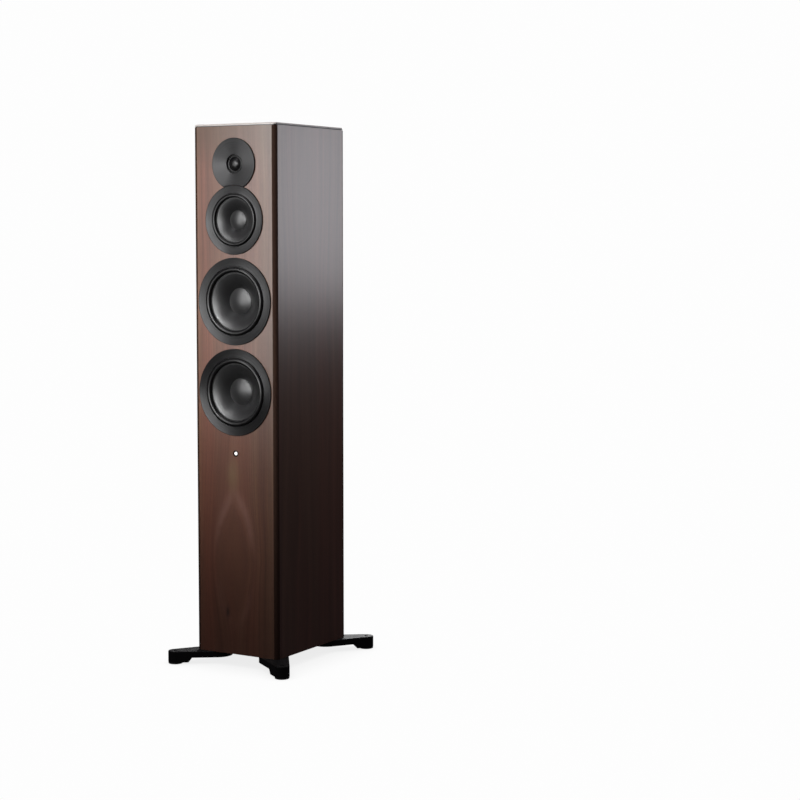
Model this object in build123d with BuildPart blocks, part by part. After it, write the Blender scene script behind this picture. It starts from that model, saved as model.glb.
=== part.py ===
from build123d import *

import math
import os
from types import SimpleNamespace

# Active three-way floorstanding loudspeaker on four outrigger feet. Millimetres, +Z up.
# The front baffle faces -Y. The origin is on the floor, under the middle of the cabinet.

# ---------------------------------------------------------------- cabinet
CABINET_WIDTH = 211.0
CABINET_DEPTH = 270.0
CABINET_HEIGHT = 1135.0
FLOOR_GAP = 28.0  # floor to the cabinet's underside
EDGE_RADIUS = 9.0  # the four upright edges, in plan
BAFFLE_THICKNESS = 28.0
SIDE_THICKNESS = 18.0
REAR_THICKNESS = 20.0
BOTTOM_THICKNESS = 22.0
TOP_THICKNESS = 22.0
CAP_THICKNESS = 4.0  # the part of the top panel that shows above the walls
CAP_CHAMFER = 2.2
SHADOW_GAP = 1.4  # height of the groove under the cap
SHADOW_DEPTH = 2.0
BRACE_THICKNESS = 16.0
BRACE_RIM = 25.0
CHAMBER_WALL = 12.0
CHAMBER_HALF_HEIGHT = 71.0  # inside, from the midrange axis
CHAMBER_BACK_Y = 52.0

FACE = -CABINET_DEPTH / 2  # y of the baffle's front
BACK = CABINET_DEPTH / 2
BASE_Z = FLOOR_GAP
TOP_Z = FLOOR_GAP + CABINET_HEIGHT
WALL_TOP_Z = TOP_Z - CAP_THICKNESS - SHADOW_GAP
HALF_WIDTH = CABINET_WIDTH / 2
INNER_HALF_WIDTH = HALF_WIDTH - SIDE_THICKNESS
INNER_FRONT = FACE + BAFFLE_THICKNESS
INNER_BACK = BACK - REAR_THICKNESS
INNER_DEPTH = INNER_BACK - INNER_FRONT
INNER_MIDDLE = (INNER_FRONT + INNER_BACK) / 2

# ---------------------------------------------------------------- drive units
# Heights are of the axes. Depths below are measured inwards from the baffle's front,
# so what stands proud of the baffle has a negative depth.
TWEETER_Z = TOP_Z - 85.0
STATUS_LIGHT_Z = TOP_Z - 700.0
FLANGE_THICKNESS = 6.0
RING_PROUD = 3.0
ROLL_SEAT = 1.4  # depth of the ledge that the surround is glued to
RUBBER = 1.0
CONE_WALL = 1.1
FORMER_WALL = 0.6
WINDING = 1.0
SCREW_RADIUS = 2.0
SCREW_HEAD_RADIUS = 3.6
SCREW_LENGTH = 18.0
PILOT_CLEARANCE = 0.1
SLIP_FIT = 0.3  # play round a screw, a coil or a button
LOOSE_FIT = 0.5  # play round a bolt head, a wire or a flange

MIDRANGE = SimpleNamespace(
    name="midrange",
    z=TOP_Z - 203.0,
    frame_radius=73.4,
    ring_inner_radius=56.6,
    flange_radius=72.0,
    body_radius=60.0,
    roll_inner=47.5,
    roll_outer=55.7,
    roll_height=4.0,
    dome_radius=21.0,
    cone_depth=13.0,
    cone_bulge=2.0,
    dome_height=3.6,
    basket_depth=44.0,
    neck_radius=38.0,
    shelf_depth=31.0,
    spider_radius=43.0,
    plate_radius=46.0,
    plate_thickness=6.0,
    magnet_length=12.0,
    yoke_thickness=5.0,
    winding_length=12.0,
    window=(12.0, 34.0),
    screws=5,
)
WOOFER = dict(
    frame_radius=93.0,
    ring_inner_radius=74.3,
    flange_radius=90.0,
    body_radius=77.0,
    roll_inner=62.0,
    roll_outer=73.3,
    roll_height=5.4,
    dome_radius=28.5,
    cone_depth=19.6,
    cone_bulge=3.0,
    dome_height=5.0,
    basket_depth=62.0,
    neck_radius=49.0,
    shelf_depth=44.0,
    spider_radius=56.0,
    plate_radius=60.0,
    plate_thickness=7.0,
    magnet_length=17.0,
    yoke_thickness=7.0,
    winding_length=17.0,
    window=(16.0, 44.0),
    screws=6,
)
UPPER_WOOFER = SimpleNamespace(name="upper_woofer", z=TOP_Z - 375.5, **WOOFER)
LOWER_WOOFER = SimpleNamespace(name="lower_woofer", z=TOP_Z - 569.0, **WOOFER)
CONE_DRIVERS = (MIDRANGE, UPPER_WOOFER, LOWER_WOOFER)

TWEETER_PLATE_RADIUS = 55.0
TWEETER_BOSS_RADIUS = 41.5
TWEETER_BOSS_DEPTH = 7.0
TWEETER_THROAT_RADIUS = 20.2
TWEETER_DOME_RADIUS = 14.0
TWEETER_DOME_EDGE = 5.2  # depth of the dome's edge
TWEETER_DOME_HEIGHT = 5.6
TWEETER_SKIN = 0.5
RING_OVERLAP_GAP = 0.3  # between the midrange's ring and the tweeter plate cut to clear it

# ---------------------------------------------------------------- feet
ARM_TIP_REACH = 48.0  # from the cabinet's corner, out along the diagonal
ARM_TIP_RADIUS = 16.0
ARM_ROOT_REACH = 45.0  # from the corner, in along the diagonal
ARM_ROOT_RADIUS = 32.0
ARM_THICKNESS = 14.0
ARM_BOSS_LENGTH = 25.0  # the deeper part, inwards from the foot's axis
ARM_BOSS_SLOPE = 7.5
ARM_EDGE = 2.0
PAD_THICKNESS = 4.0
PAD_RADIUS = 15.5
STUD_RADIUS = 4.0
STUD_CLEARANCE = 0.08
STUD_TOP_Z = BASE_Z - 1.5
HEX_SOCKET_RADIUS = 2.9
ARM_BOLT_REACHES = (46.0, 66.0)
ARM_BOLT_RADIUS = 3.0
ARM_BOLT_HEAD_RADIUS = 5.0
ARM_BOLT_HEAD = 6.0
ARM_BOLT_TOP_Z = BASE_Z + 16.0

# ---------------------------------------------------------------- rear electronics
AMP_HALF_WIDTH = 80.0
AMP_BOTTOM_Z = 62.0
AMP_TOP_Z = 438.0
AMP_PLATE = 3.0
AMP_RIM = 8.0  # width of the ledge that the plate is screwed to
HOUSING_WALL = 2.0
HOUSING_FRONT = 55.0
AMP_PLATE_INSIDE = BACK - AMP_PLATE
AMP_MIDDLE_Z = (AMP_BOTTOM_Z + AMP_TOP_Z) / 2
AMP_HEIGHT = AMP_TOP_Z - AMP_BOTTOM_Z
SINK_WIDTH = 132.0
SINK_BOTTOM_Z = 268.0
SINK_TOP_Z = 420.0
SINK_BASE = 4.0
FIN_HEIGHT = 13.0
FIN_THICKNESS = 2.4
FIN_COUNT = 14
INLET_X = -45.0
INLET_Z = 105.0
INLET_FLANGE = (50.0, 62.0, 2.0)
INLET_BODY = (44.0, 54.0, 28.0)
INLET_RECESS = (25.5, 17.5, 16.0)
INLET_RECESS_DROP = 14.0
ROCKER_RISE = 14.0
ROCKER_POCKET = (13.6, 20.0, 14.0)
ROCKER_WIDTH = 12.6
ROCKER_PIVOT_Y = BACK - 3.0
ROCKER_TILT = 8.0
PIVOT_RADIUS = 1.0
RCA_SPOTS = [(x, z) for x in (12.0, 36.0) for z in (190.0, 220.0)]
RCA_BARREL_RADIUS = 4.15
RCA_FLANGE_RADIUS = 5.6
RCA_LENGTH = 10.0
OPTICAL_SPOT = (60.0, 205.0)
OPTICAL_SIDE = 11.0
NETWORK_SPOT = (24.0, 105.0)
NETWORK_BODY = (17.0, 15.0, 19.0)
NETWORK_HOLE = (11.8, 8.4, 13.0)
SWITCH_SPOT = (-45.0, 180.0)
SWITCH_SLOT = (14.0, 4.6)
SWITCH_KNOB = (4.0, 4.0)
BUTTON_SPOT = (-45.0, 215.0)
BUTTON_RADIUS = 4.0
PANEL_SCREW_INSET = 4.0
WIRE_RADIUS = 2.5
WIRE_BEND = 14.0
WIRE_Y = 80.0
WIRE_SIDE_X = 68.0
WIRE_STARTS = {
    "lower_woofer": 36.0,
    "upper_woofer": 24.0,
    "midrange": 12.0,
    "status_light": 0.0,
    "tweeter": -12.0,
}

os.makedirs("parts", exist_ok=True)


def keep(label, *pieces):
    """Labels a finished piece, or a group of separate ones, and writes it as one STEP file."""
    if len(pieces) == 1:
        shape = pieces[0].part
    else:
        shape = Compound(children=[piece.part for piece in pieces])
    shape.label = label
    export_step(shape, f"parts/{label}.step")


def front_plane(depth, height):
    """A plane facing the listener, at a depth behind the baffle's front and a height."""
    return Plane(origin=(0, FACE + depth, height), x_dir=(1, 0, 0), z_dir=(0, -1, 0))


def rear_plane(y, height=0.0):
    """A plane facing the wall behind the speaker, with local x along the row's +X."""
    return Plane(origin=(0, y, height), x_dir=(1, 0, 0), z_dir=(0, -1, 0))


def driver_axis(height):
    return Axis((0, FACE, height), (0, 1, 0))


def lathe(height, points):
    """A turned piece: the closed outline, given as (radius, depth), spun round a drive unit's axis."""
    with BuildPart() as turned:
        with BuildSketch(Plane.XY.offset(height)):
            with BuildLine():
                Polyline(*[(r, FACE + depth) for r, depth in points], close=True)
            make_face()
        revolve(axis=driver_axis(height))
    return turned


def block(low, high):
    """A rectangular piece between two corners."""
    size = [b - a for a, b in zip(low, high)]
    middle = [(a + b) / 2 for a, b in zip(low, high)]
    with BuildPart() as brick:
        with Locations(tuple(middle)):
            Box(*size)
    return brick


# ================================================================ cabinet shell
def wall_panel(outline, low_z=BASE_Z, high_z=WALL_TOP_Z):
    """One upright panel: the share of the rounded plan that lies inside the outline's corners."""
    with BuildPart() as panel:
        with BuildSketch(Plane.XY.offset(low_z)):
            RectangleRounded(CABINET_WIDTH, CABINET_DEPTH, EDGE_RADIUS)
            with BuildLine():
                Polyline(*outline, close=True)
            make_face(mode=Mode.INTERSECT)
        extrude(amount=high_z - low_z)
    return panel


def make_front_baffle():
    """The mitred front panel with a rebated hole for each drive unit and one for the light."""
    mitre_y = FACE + SIDE_THICKNESS
    with BuildPart() as front_baffle:
        add(
            wall_panel(
                [
                    (-HALF_WIDTH, FACE),
                    (HALF_WIDTH, FACE),
                    (INNER_HALF_WIDTH, mitre_y),
                    (INNER_HALF_WIDTH, INNER_FRONT),
                    (-INNER_HALF_WIDTH, INNER_FRONT),
                    (-INNER_HALF_WIDTH, mitre_y),
                ]
            ).part
        )
        for unit in CONE_DRIVERS:
            with Locations(front_plane(0, unit.z)):
                CounterBoreHole(
                    radius=unit.body_radius + 1.0,
                    counter_bore_radius=unit.flange_radius + LOOSE_FIT,
                    counter_bore_depth=FLANGE_THICKNESS,
                    depth=BAFFLE_THICKNESS,
                )
            with Locations(front_plane(FLANGE_THICKNESS, unit.z)):
                with PolarLocations(screw_circle(unit), unit.screws, start_angle=90):
                    Hole(radius=SCREW_RADIUS + PILOT_CLEARANCE, depth=SCREW_LENGTH - FLANGE_THICKNESS)
        with Locations(front_plane(0, TWEETER_Z)):
            Hole(radius=TWEETER_BOSS_RADIUS + LOOSE_FIT, depth=BAFFLE_THICKNESS)
        with Locations(front_plane(0, STATUS_LIGHT_Z)):
            Hole(radius=5.6, depth=BAFFLE_THICKNESS)
    keep("front_baffle", front_baffle)


def make_side_panels():
    """The two veneered sides, mitred to the front and the rear."""
    front_mitre_y = FACE + SIDE_THICKNESS
    rear_mitre_y = BACK - SIDE_THICKNESS
    for label, side in (("left_side_panel", -1), ("right_side_panel", 1)):
        outline = [
            (side * HALF_WIDTH, FACE),
            (side * INNER_HALF_WIDTH, front_mitre_y),
            (side * INNER_HALF_WIDTH, rear_mitre_y),
            (side * HALF_WIDTH, BACK),
        ]
        keep(label, wall_panel(outline))


def make_rear_panel():
    """The rear wall, cut out for the electronics, with a rebate that the amplifier plate sits in."""
    mitre_y = BACK - SIDE_THICKNESS
    with BuildPart() as rear_panel:
        add(
            wall_panel(
                [
                    (-HALF_WIDTH, BACK),
                    (-INNER_HALF_WIDTH, mitre_y),
                    (-INNER_HALF_WIDTH, INNER_BACK),
                    (INNER_HALF_WIDTH, INNER_BACK),
                    (INNER_HALF_WIDTH, mitre_y),
                    (HALF_WIDTH, BACK),
                ]
            ).part
        )
        with BuildSketch(rear_plane(BACK, AMP_MIDDLE_Z)):
            Rectangle(2 * AMP_HALF_WIDTH, AMP_HEIGHT)
        extrude(amount=AMP_PLATE, mode=Mode.SUBTRACT)
        with BuildSketch(rear_plane(BACK, AMP_MIDDLE_Z)):
            Rectangle(2 * (AMP_HALF_WIDTH - AMP_RIM), AMP_HEIGHT - 2 * AMP_RIM)
        extrude(amount=REAR_THICKNESS, mode=Mode.SUBTRACT)
        with BuildSketch(rear_plane(AMP_PLATE_INSIDE)):
            with Locations(*amp_screw_spots()):
                Circle(SCREW_RADIUS + PILOT_CLEARANCE)
        extrude(amount=SCREW_LENGTH - 4.0, mode=Mode.SUBTRACT)
    keep("rear_panel", rear_panel)


def make_top_panel():
    """The lid: a plug between the walls, a recessed neck for the shadow gap, and a bevelled cap."""
    with BuildPart() as top_panel:
        with BuildSketch(Plane.XY.offset(TOP_Z - TOP_THICKNESS)):
            with Locations((0, INNER_MIDDLE)):
                Rectangle(2 * INNER_HALF_WIDTH, INNER_DEPTH)
        extrude(amount=TOP_THICKNESS - CAP_THICKNESS)
        with BuildSketch(Plane.XY.offset(WALL_TOP_Z)):
            RectangleRounded(
                CABINET_WIDTH - 2 * SHADOW_DEPTH,
                CABINET_DEPTH - 2 * SHADOW_DEPTH,
                EDGE_RADIUS - SHADOW_DEPTH,
            )
        extrude(amount=SHADOW_GAP)
        with BuildSketch(Plane.XY.offset(TOP_Z - CAP_THICKNESS)):
            RectangleRounded(CABINET_WIDTH, CABINET_DEPTH, EDGE_RADIUS)
        extrude(amount=CAP_THICKNESS)
        chamfer(top_panel.faces().sort_by(Axis.Z)[-1].edges(), length=CAP_CHAMFER)
    keep("top_panel", top_panel)


def make_bottom_panel():
    """The floor of the cabinet, between the walls, with blind holes for the arm bolts."""
    with BuildPart() as bottom_panel:
        with BuildSketch(Plane.XY.offset(BASE_Z)):
            with Locations((0, INNER_MIDDLE)):
                Rectangle(2 * INNER_HALF_WIDTH, INNER_DEPTH)
        extrude(amount=BOTTOM_THICKNESS)
        with BuildSketch(Plane.XY.offset(BASE_Z)):
            for corner in CORNERS.values():
                with Locations(*[along_arm(corner, -reach) for reach in ARM_BOLT_REACHES]):
                    Circle(ARM_BOLT_RADIUS + PILOT_CLEARANCE)
        extrude(amount=ARM_BOLT_TOP_Z - BASE_Z + 1.0, mode=Mode.SUBTRACT)
    keep("bottom_panel", bottom_panel)


def make_braces():
    """Two window braces: one between the woofers and one under the lower woofer."""
    braces = []
    for height in ((UPPER_WOOFER.z + LOWER_WOOFER.z) / 2, STATUS_LIGHT_Z + 22.0):
        with BuildPart() as brace:
            with BuildSketch(Plane.XY.offset(height - BRACE_THICKNESS / 2)):
                with Locations((0, INNER_MIDDLE)):
                    Rectangle(2 * INNER_HALF_WIDTH, INNER_DEPTH)
                    RectangleRounded(
                        2 * (INNER_HALF_WIDTH - BRACE_RIM),
                        INNER_DEPTH - 2 * BRACE_RIM,
                        12.0,
                        mode=Mode.SUBTRACT,
                    )
            extrude(amount=BRACE_THICKNESS)
        braces.append(brace)
    keep("cabinet_braces", *braces)


def make_midrange_chamber():
    """Two shelves and a back wall that keep the woofers' pressure off the midrange cone."""
    low = MIDRANGE.z - CHAMBER_HALF_HEIGHT - CHAMBER_WALL
    high = MIDRANGE.z + CHAMBER_HALF_HEIGHT + CHAMBER_WALL
    back = CHAMBER_BACK_Y
    with BuildPart() as midrange_chamber:
        with BuildSketch(Plane.YZ):
            with BuildLine():
                Polyline(
                    (INNER_FRONT, low),
                    (back, low),
                    (back, high),
                    (INNER_FRONT, high),
                    (INNER_FRONT, high - CHAMBER_WALL),
                    (back - CHAMBER_WALL, high - CHAMBER_WALL),
                    (back - CHAMBER_WALL, low + CHAMBER_WALL),
                    (INNER_FRONT, low + CHAMBER_WALL),
                    close=True,
                )
            make_face()
        extrude(amount=INNER_HALF_WIDTH, both=True)
        with Locations(Plane(origin=(WIRE_SIDE_X, back, MIDRANGE.z), z_dir=(0, 1, 0))):
            Hole(radius=WIRE_RADIUS + LOOSE_FIT, depth=CHAMBER_WALL)
    keep("midrange_chamber", midrange_chamber)


def make_damping_pads():
    """Soft absorber on the side walls of each bay."""
    thickness = 13.0
    lower_brace = STATUS_LIGHT_Z + 22.0
    middle_brace = (UPPER_WOOFER.z + LOWER_WOOFER.z) / 2
    bays = (
        (BASE_Z + BOTTOM_THICKNESS + 10.0, lower_brace - 18.0),
        (lower_brace + 18.0, middle_brace - 18.0),
        (middle_brace + 18.0, MIDRANGE.z - 95.0),
    )
    pads = []
    for low_z, high_z in bays:
        for low_x, high_x in (
            (-INNER_HALF_WIDTH, -INNER_HALF_WIDTH + thickness),
            (INNER_HALF_WIDTH - thickness, INNER_HALF_WIDTH),
        ):
            pads.append(block((low_x, -70.0, low_z), (high_x, 30.0, high_z)))
    keep("damping_pads", *pads)


# ================================================================ cone drive units
def screw_circle(unit):
    """The radius of the circle of screws that hold a cone drive unit."""
    return (unit.roll_outer + 5.0 + unit.flange_radius) / 2


def coil_radii(unit):
    """The inside and outside of the voice coil's former."""
    return unit.dome_radius - FORMER_WALL, unit.dome_radius


def make_trim_ring(unit):
    """The ring that hides the basket's flange: it stands proud and is dished towards the cone."""
    inner, outer = unit.ring_inner_radius, unit.frame_radius
    with BuildPart() as trim_ring:
        with BuildSketch(Plane.XY.offset(unit.z)):
            with BuildLine():
                Polyline(
                    (inner + 1.0, FACE - 1.5),
                    (inner, FACE - 0.8),
                    (inner, FACE),
                    (outer, FACE),
                    (outer, FACE - RING_PROUD + 0.7),
                    (outer - 0.7, FACE - RING_PROUD),
                )
                ThreePointArc(
                    (outer - 0.7, FACE - RING_PROUD),
                    ((inner + outer) / 2, FACE - 1.95),
                    (inner + 1.0, FACE - 1.5),
                )
            make_face()
        revolve(axis=driver_axis(unit.z))
    keep(f"{unit.name}_trim_ring", trim_ring)


def basket(unit):
    """The cast chassis: flange, windowed body, spider shelf, rear ring and a terminal block."""
    lip = unit.roll_outer - 1.5
    step = unit.roll_outer + 5.0
    wall = 3.0
    depth = unit.basket_depth
    neck = unit.neck_radius
    bore = unit.dome_radius + 1.8
    window_low, window_high = unit.window
    window_radius = unit.body_radius - 6.0
    with BuildPart() as chassis:
        add(
            lathe(
                unit.z,
                [
                    (lip, ROLL_SEAT),
                    (step, ROLL_SEAT),
                    (step, 0),
                    (unit.flange_radius, 0),
                    (unit.flange_radius, FLANGE_THICKNESS),
                    (unit.body_radius, FLANGE_THICKNESS),
                    (neck + wall, depth),
                    (neck + wall, depth + 4.0),
                    (bore, depth + 4.0),
                    (bore, depth),
                    (neck, depth),
                    (unit.body_radius - wall, FLANGE_THICKNESS),
                    (lip, FLANGE_THICKNESS - 1.0),
                ],
            ).part
        )
        with BuildSketch(front_plane(window_low, unit.z)):
            with PolarLocations(window_radius, 6, start_angle=30):
                RectangleRounded(15.0, 0.62 * window_radius, 4.0)
        extrude(amount=-(window_high - window_low), mode=Mode.SUBTRACT)
        shelf_wall = unit.body_radius - (unit.body_radius - neck) * (unit.shelf_depth / depth)
        add(
            lathe(
                unit.z,
                [
                    (unit.spider_radius - 3.0, unit.shelf_depth + 1.4),
                    (shelf_wall + 1.2, unit.shelf_depth + 1.4),
                    (shelf_wall + 0.6, unit.shelf_depth + 3.9),
                    (unit.spider_radius - 3.0, unit.shelf_depth + 3.9),
                ],
            ).part
        )
        with BuildSketch(front_plane(FLANGE_THICKNESS, unit.z)):
            with PolarLocations(screw_circle(unit), unit.screws, start_angle=90):
                Circle(SCREW_RADIUS + SLIP_FIT)
        extrude(amount=FLANGE_THICKNESS, mode=Mode.SUBTRACT)
        with BuildSketch(front_plane(3.0, unit.z)):
            with PolarLocations(screw_circle(unit), unit.screws, start_angle=90):
                Circle(SCREW_HEAD_RADIUS + SLIP_FIT)
        extrude(amount=3.0, mode=Mode.SUBTRACT)
        terminal_x = WIRE_SIDE_X + 4.0 - (neck + 1.5)
        with Locations(((WIRE_SIDE_X + 4.0 + neck + 1.5) / 2, FACE + depth - 3.0, unit.z)):
            Box(terminal_x, 6.0, 14.0)
    return chassis


def make_surround(unit):
    """The half-roll rubber suspension between the cone's rim and the basket."""
    inner, outer, crest = unit.roll_inner, unit.roll_outer, -unit.roll_height - 0.5
    middle = (inner + outer) / 2
    top, under = ROLL_SEAT - RUBBER, ROLL_SEAT
    with BuildPart() as surround:
        with BuildSketch(Plane.XY.offset(unit.z)):
            with BuildLine():
                Line((inner - 2.0, FACE + top), (inner, FACE + top))
                ThreePointArc(
                    (inner, FACE + top), (middle, FACE + crest), (outer, FACE + top)
                )
                Polyline(
                    (outer, FACE + top),
                    (outer + 4.5, FACE + top),
                    (outer + 4.5, FACE + under),
                    (outer - RUBBER, FACE + under),
                )
                ThreePointArc(
                    (outer - RUBBER, FACE + under),
                    (middle, FACE + crest + RUBBER),
                    (inner + RUBBER, FACE + under),
                )
                Polyline(
                    (inner + RUBBER, FACE + under),
                    (inner - 2.0, FACE + under),
                    (inner - 2.0, FACE + top),
                )
            make_face()
        revolve(axis=driver_axis(unit.z))
    keep(f"{unit.name}_surround", surround)


def make_cone(unit):
    """The one-piece diaphragm: a flared cone that turns back into a central dome."""
    rim, dome = unit.roll_inner, unit.dome_radius
    top = FACE + ROLL_SEAT
    valley = top + unit.cone_depth
    apex = valley - unit.dome_height
    ball = ((dome - 1.0) ** 2 + unit.dome_height**2) / (2 * unit.dome_height)
    half = (dome - 1.0) / 2
    dome_half = apex + ball - math.sqrt(ball**2 - half**2)
    flare = ((rim - 2.5 + dome + 1.0) / 2, (top + valley) / 2 - unit.cone_bulge)
    with BuildPart() as cone:
        with BuildSketch(Plane.XY.offset(unit.z)):
            with BuildLine():
                for shift in (0.0, CONE_WALL):
                    Line((rim, top + shift), (rim - 2.5, top + shift))
                    ThreePointArc(
                        (rim - 2.5, top + shift),
                        (flare[0], flare[1] + shift),
                        (dome + 1.0, valley + shift),
                    )
                    Line((dome + 1.0, valley + shift), (dome - 1.0, valley + shift))
                    ThreePointArc(
                        (dome - 1.0, valley + shift),
                        (half, dome_half + shift),
                        (0, apex + shift),
                    )
                Line((rim, top), (rim, top + CONE_WALL))
                Line((0, apex), (0, apex + CONE_WALL))
            make_face()
        revolve(axis=driver_axis(unit.z))
    keep(f"{unit.name}_cone", cone)


def make_voice_coil(unit):
    """The former glued to the back of the cone, with the winding at its far end."""
    inside, outside = coil_radii(unit)
    start = ROLL_SEAT + unit.cone_depth + CONE_WALL
    gap_middle = unit.basket_depth + 4.0 + unit.plate_thickness / 2
    winding_low = gap_middle - unit.winding_length / 2
    winding_high = gap_middle + unit.winding_length / 2
    voice_coil = lathe(
        unit.z,
        [
            (inside, start),
            (outside, start),
            (outside, winding_low),
            (outside + WINDING, winding_low),
            (outside + WINDING, winding_high),
            (outside, winding_high),
            (outside, winding_high + 1.0),
            (inside, winding_high + 1.0),
        ],
    )
    keep(f"{unit.name}_voice_coil", voice_coil)


def make_spider(unit):
    """The corrugated cloth disc that centres the coil."""
    thickness = 0.8
    inner = coil_radii(unit)[1] + SLIP_FIT
    outer = unit.spider_radius
    flat = 3.5
    waves = 4
    pitch = (outer - flat - inner - 1.0) / waves
    top = FACE + unit.shelf_depth + 1.4 - thickness
    with BuildPart() as spider:
        with BuildSketch(Plane.XY.offset(unit.z)):
            with BuildLine():
                for shift in (0.0, thickness):
                    Line((inner, top + shift), (inner + 1.0, top + shift))
                    for wave in range(waves):
                        start = inner + 1.0 + wave * pitch
                        half = start + pitch / 2
                        for low, high, swing in ((start, half, -1.3), (half, start + pitch, 1.3)):
                            ThreePointArc(
                                (low, top + shift),
                                ((low + high) / 2, top + shift + swing),
                                (high, top + shift),
                            )
                    Line((outer - flat, top + shift), (outer, top + shift))
                Line((inner, top), (inner, top + thickness))
                Line((outer, top), (outer, top + thickness))
            make_face()
        revolve(axis=driver_axis(unit.z))
    keep(f"{unit.name}_spider", spider)


def magnet_system(unit):
    """The front plate, the ring magnet and the yoke with its vented pole."""
    coil_outside = coil_radii(unit)[1] + WINDING
    pole = coil_radii(unit)[0] - 0.6
    start = unit.basket_depth + 4.0
    magnet_start = start + unit.plate_thickness
    yoke_start = magnet_start + unit.magnet_length
    end = yoke_start + unit.yoke_thickness
    vent = 6.0
    front_plate = lathe(
        unit.z,
        [
            (coil_outside + 0.7, start),
            (unit.plate_radius, start),
            (unit.plate_radius, magnet_start),
            (coil_outside + 0.7, magnet_start),
        ],
    )
    magnet = lathe(
        unit.z,
        [
            (coil_outside + 5.0, magnet_start),
            (unit.plate_radius - 3.0, magnet_start),
            (unit.plate_radius - 3.0, yoke_start),
            (coil_outside + 5.0, yoke_start),
        ],
    )
    yoke = lathe(
        unit.z,
        [
            (vent, start - 1.0),
            (pole, start - 1.0),
            (pole, yoke_start),
            (unit.plate_radius - 5.0, yoke_start),
            (unit.plate_radius - 5.0, end),
            (vent, end),
        ],
    )
    return [front_plate, magnet, yoke]


def make_cone_drivers():
    for unit in CONE_DRIVERS:
        make_trim_ring(unit)
        make_surround(unit)
        make_cone(unit)
        make_voice_coil(unit)
        make_spider(unit)
    keep("midrange_basket", basket(MIDRANGE))
    keep("woofer_baskets", basket(UPPER_WOOFER), basket(LOWER_WOOFER))
    keep("midrange_magnet_system", *magnet_system(MIDRANGE))
    keep("woofer_magnet_systems", *magnet_system(UPPER_WOOFER), *magnet_system(LOWER_WOOFER))


# ================================================================ tweeter
def make_tweeter_faceplate():
    """The shallow waveguide plate, cut away where the midrange's ring laps over it."""
    radius, throat = TWEETER_PLATE_RADIUS, TWEETER_THROAT_RADIUS
    with BuildPart() as faceplate:
        with BuildSketch(Plane.XY.offset(TWEETER_Z)):
            with BuildLine():
                Polyline(
                    (throat, FACE + 1.2),
                    (throat, FACE + TWEETER_BOSS_DEPTH),
                    (TWEETER_BOSS_RADIUS, FACE + TWEETER_BOSS_DEPTH),
                    (TWEETER_BOSS_RADIUS, FACE),
                    (radius, FACE),
                    (radius, FACE - RING_PROUD + 0.7),
                    (radius - 0.7, FACE - RING_PROUD),
                )
                ThreePointArc(
                    (radius - 0.7, FACE - RING_PROUD),
                    ((radius + throat) / 2, FACE - 1.2),
                    (throat, FACE + 1.2),
                )
            make_face()
        revolve(axis=driver_axis(TWEETER_Z))
        with BuildSketch(front_plane(-RING_PROUD, MIDRANGE.z)):
            Circle(MIDRANGE.frame_radius + RING_OVERLAP_GAP)
        extrude(amount=-RING_PROUD, mode=Mode.SUBTRACT)
    keep("tweeter_faceplate", faceplate)


def make_tweeter_dome():
    """The soft dome, with its edge turned back to take the coil."""
    edge = FACE + TWEETER_DOME_EDGE
    radius, height = TWEETER_DOME_RADIUS, TWEETER_DOME_HEIGHT
    ball = (radius**2 + height**2) / (2 * height)
    with BuildPart() as tweeter_dome:
        with BuildSketch(Plane.XY.offset(TWEETER_Z)):
            with BuildLine():
                for shift in (0.0, TWEETER_SKIN):
                    apex = edge - height + shift
                    half = apex + ball - math.sqrt(ball**2 - (radius / 2) ** 2)
                    ThreePointArc((radius, edge + shift), (radius / 2, half), (0, apex))
                Line((radius, edge), (radius, edge + TWEETER_SKIN))
                Line((0, edge - height), (0, edge - height + TWEETER_SKIN))
            make_face()
        revolve(axis=driver_axis(TWEETER_Z))
    keep("tweeter_dome", tweeter_dome)


def make_tweeter_suspension():
    """The narrow fabric roll round the dome, and the ring it is clamped by."""
    inner, outer = TWEETER_DOME_RADIUS + 0.25, 18.2
    middle = (inner + outer) / 2
    edge = FACE + TWEETER_DOME_EDGE
    with BuildPart() as suspension:
        with BuildSketch(Plane.XY.offset(TWEETER_Z)):
            with BuildLine():
                ThreePointArc((inner, edge), (middle, edge - 1.5), (outer, edge))
                Polyline(
                    (outer, edge),
                    (TWEETER_THROAT_RADIUS - 0.3, edge),
                    (TWEETER_THROAT_RADIUS - 0.3, FACE + TWEETER_BOSS_DEPTH),
                    (outer, FACE + TWEETER_BOSS_DEPTH),
                    (outer, edge + TWEETER_SKIN),
                )
                ThreePointArc(
                    (outer, edge + TWEETER_SKIN),
                    (middle, edge - 1.5 + TWEETER_SKIN),
                    (inner, edge + TWEETER_SKIN),
                )
                Line((inner, edge + TWEETER_SKIN), (inner, edge))
            make_face()
        revolve(axis=driver_axis(TWEETER_Z))
    keep("tweeter_suspension", suspension)


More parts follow.
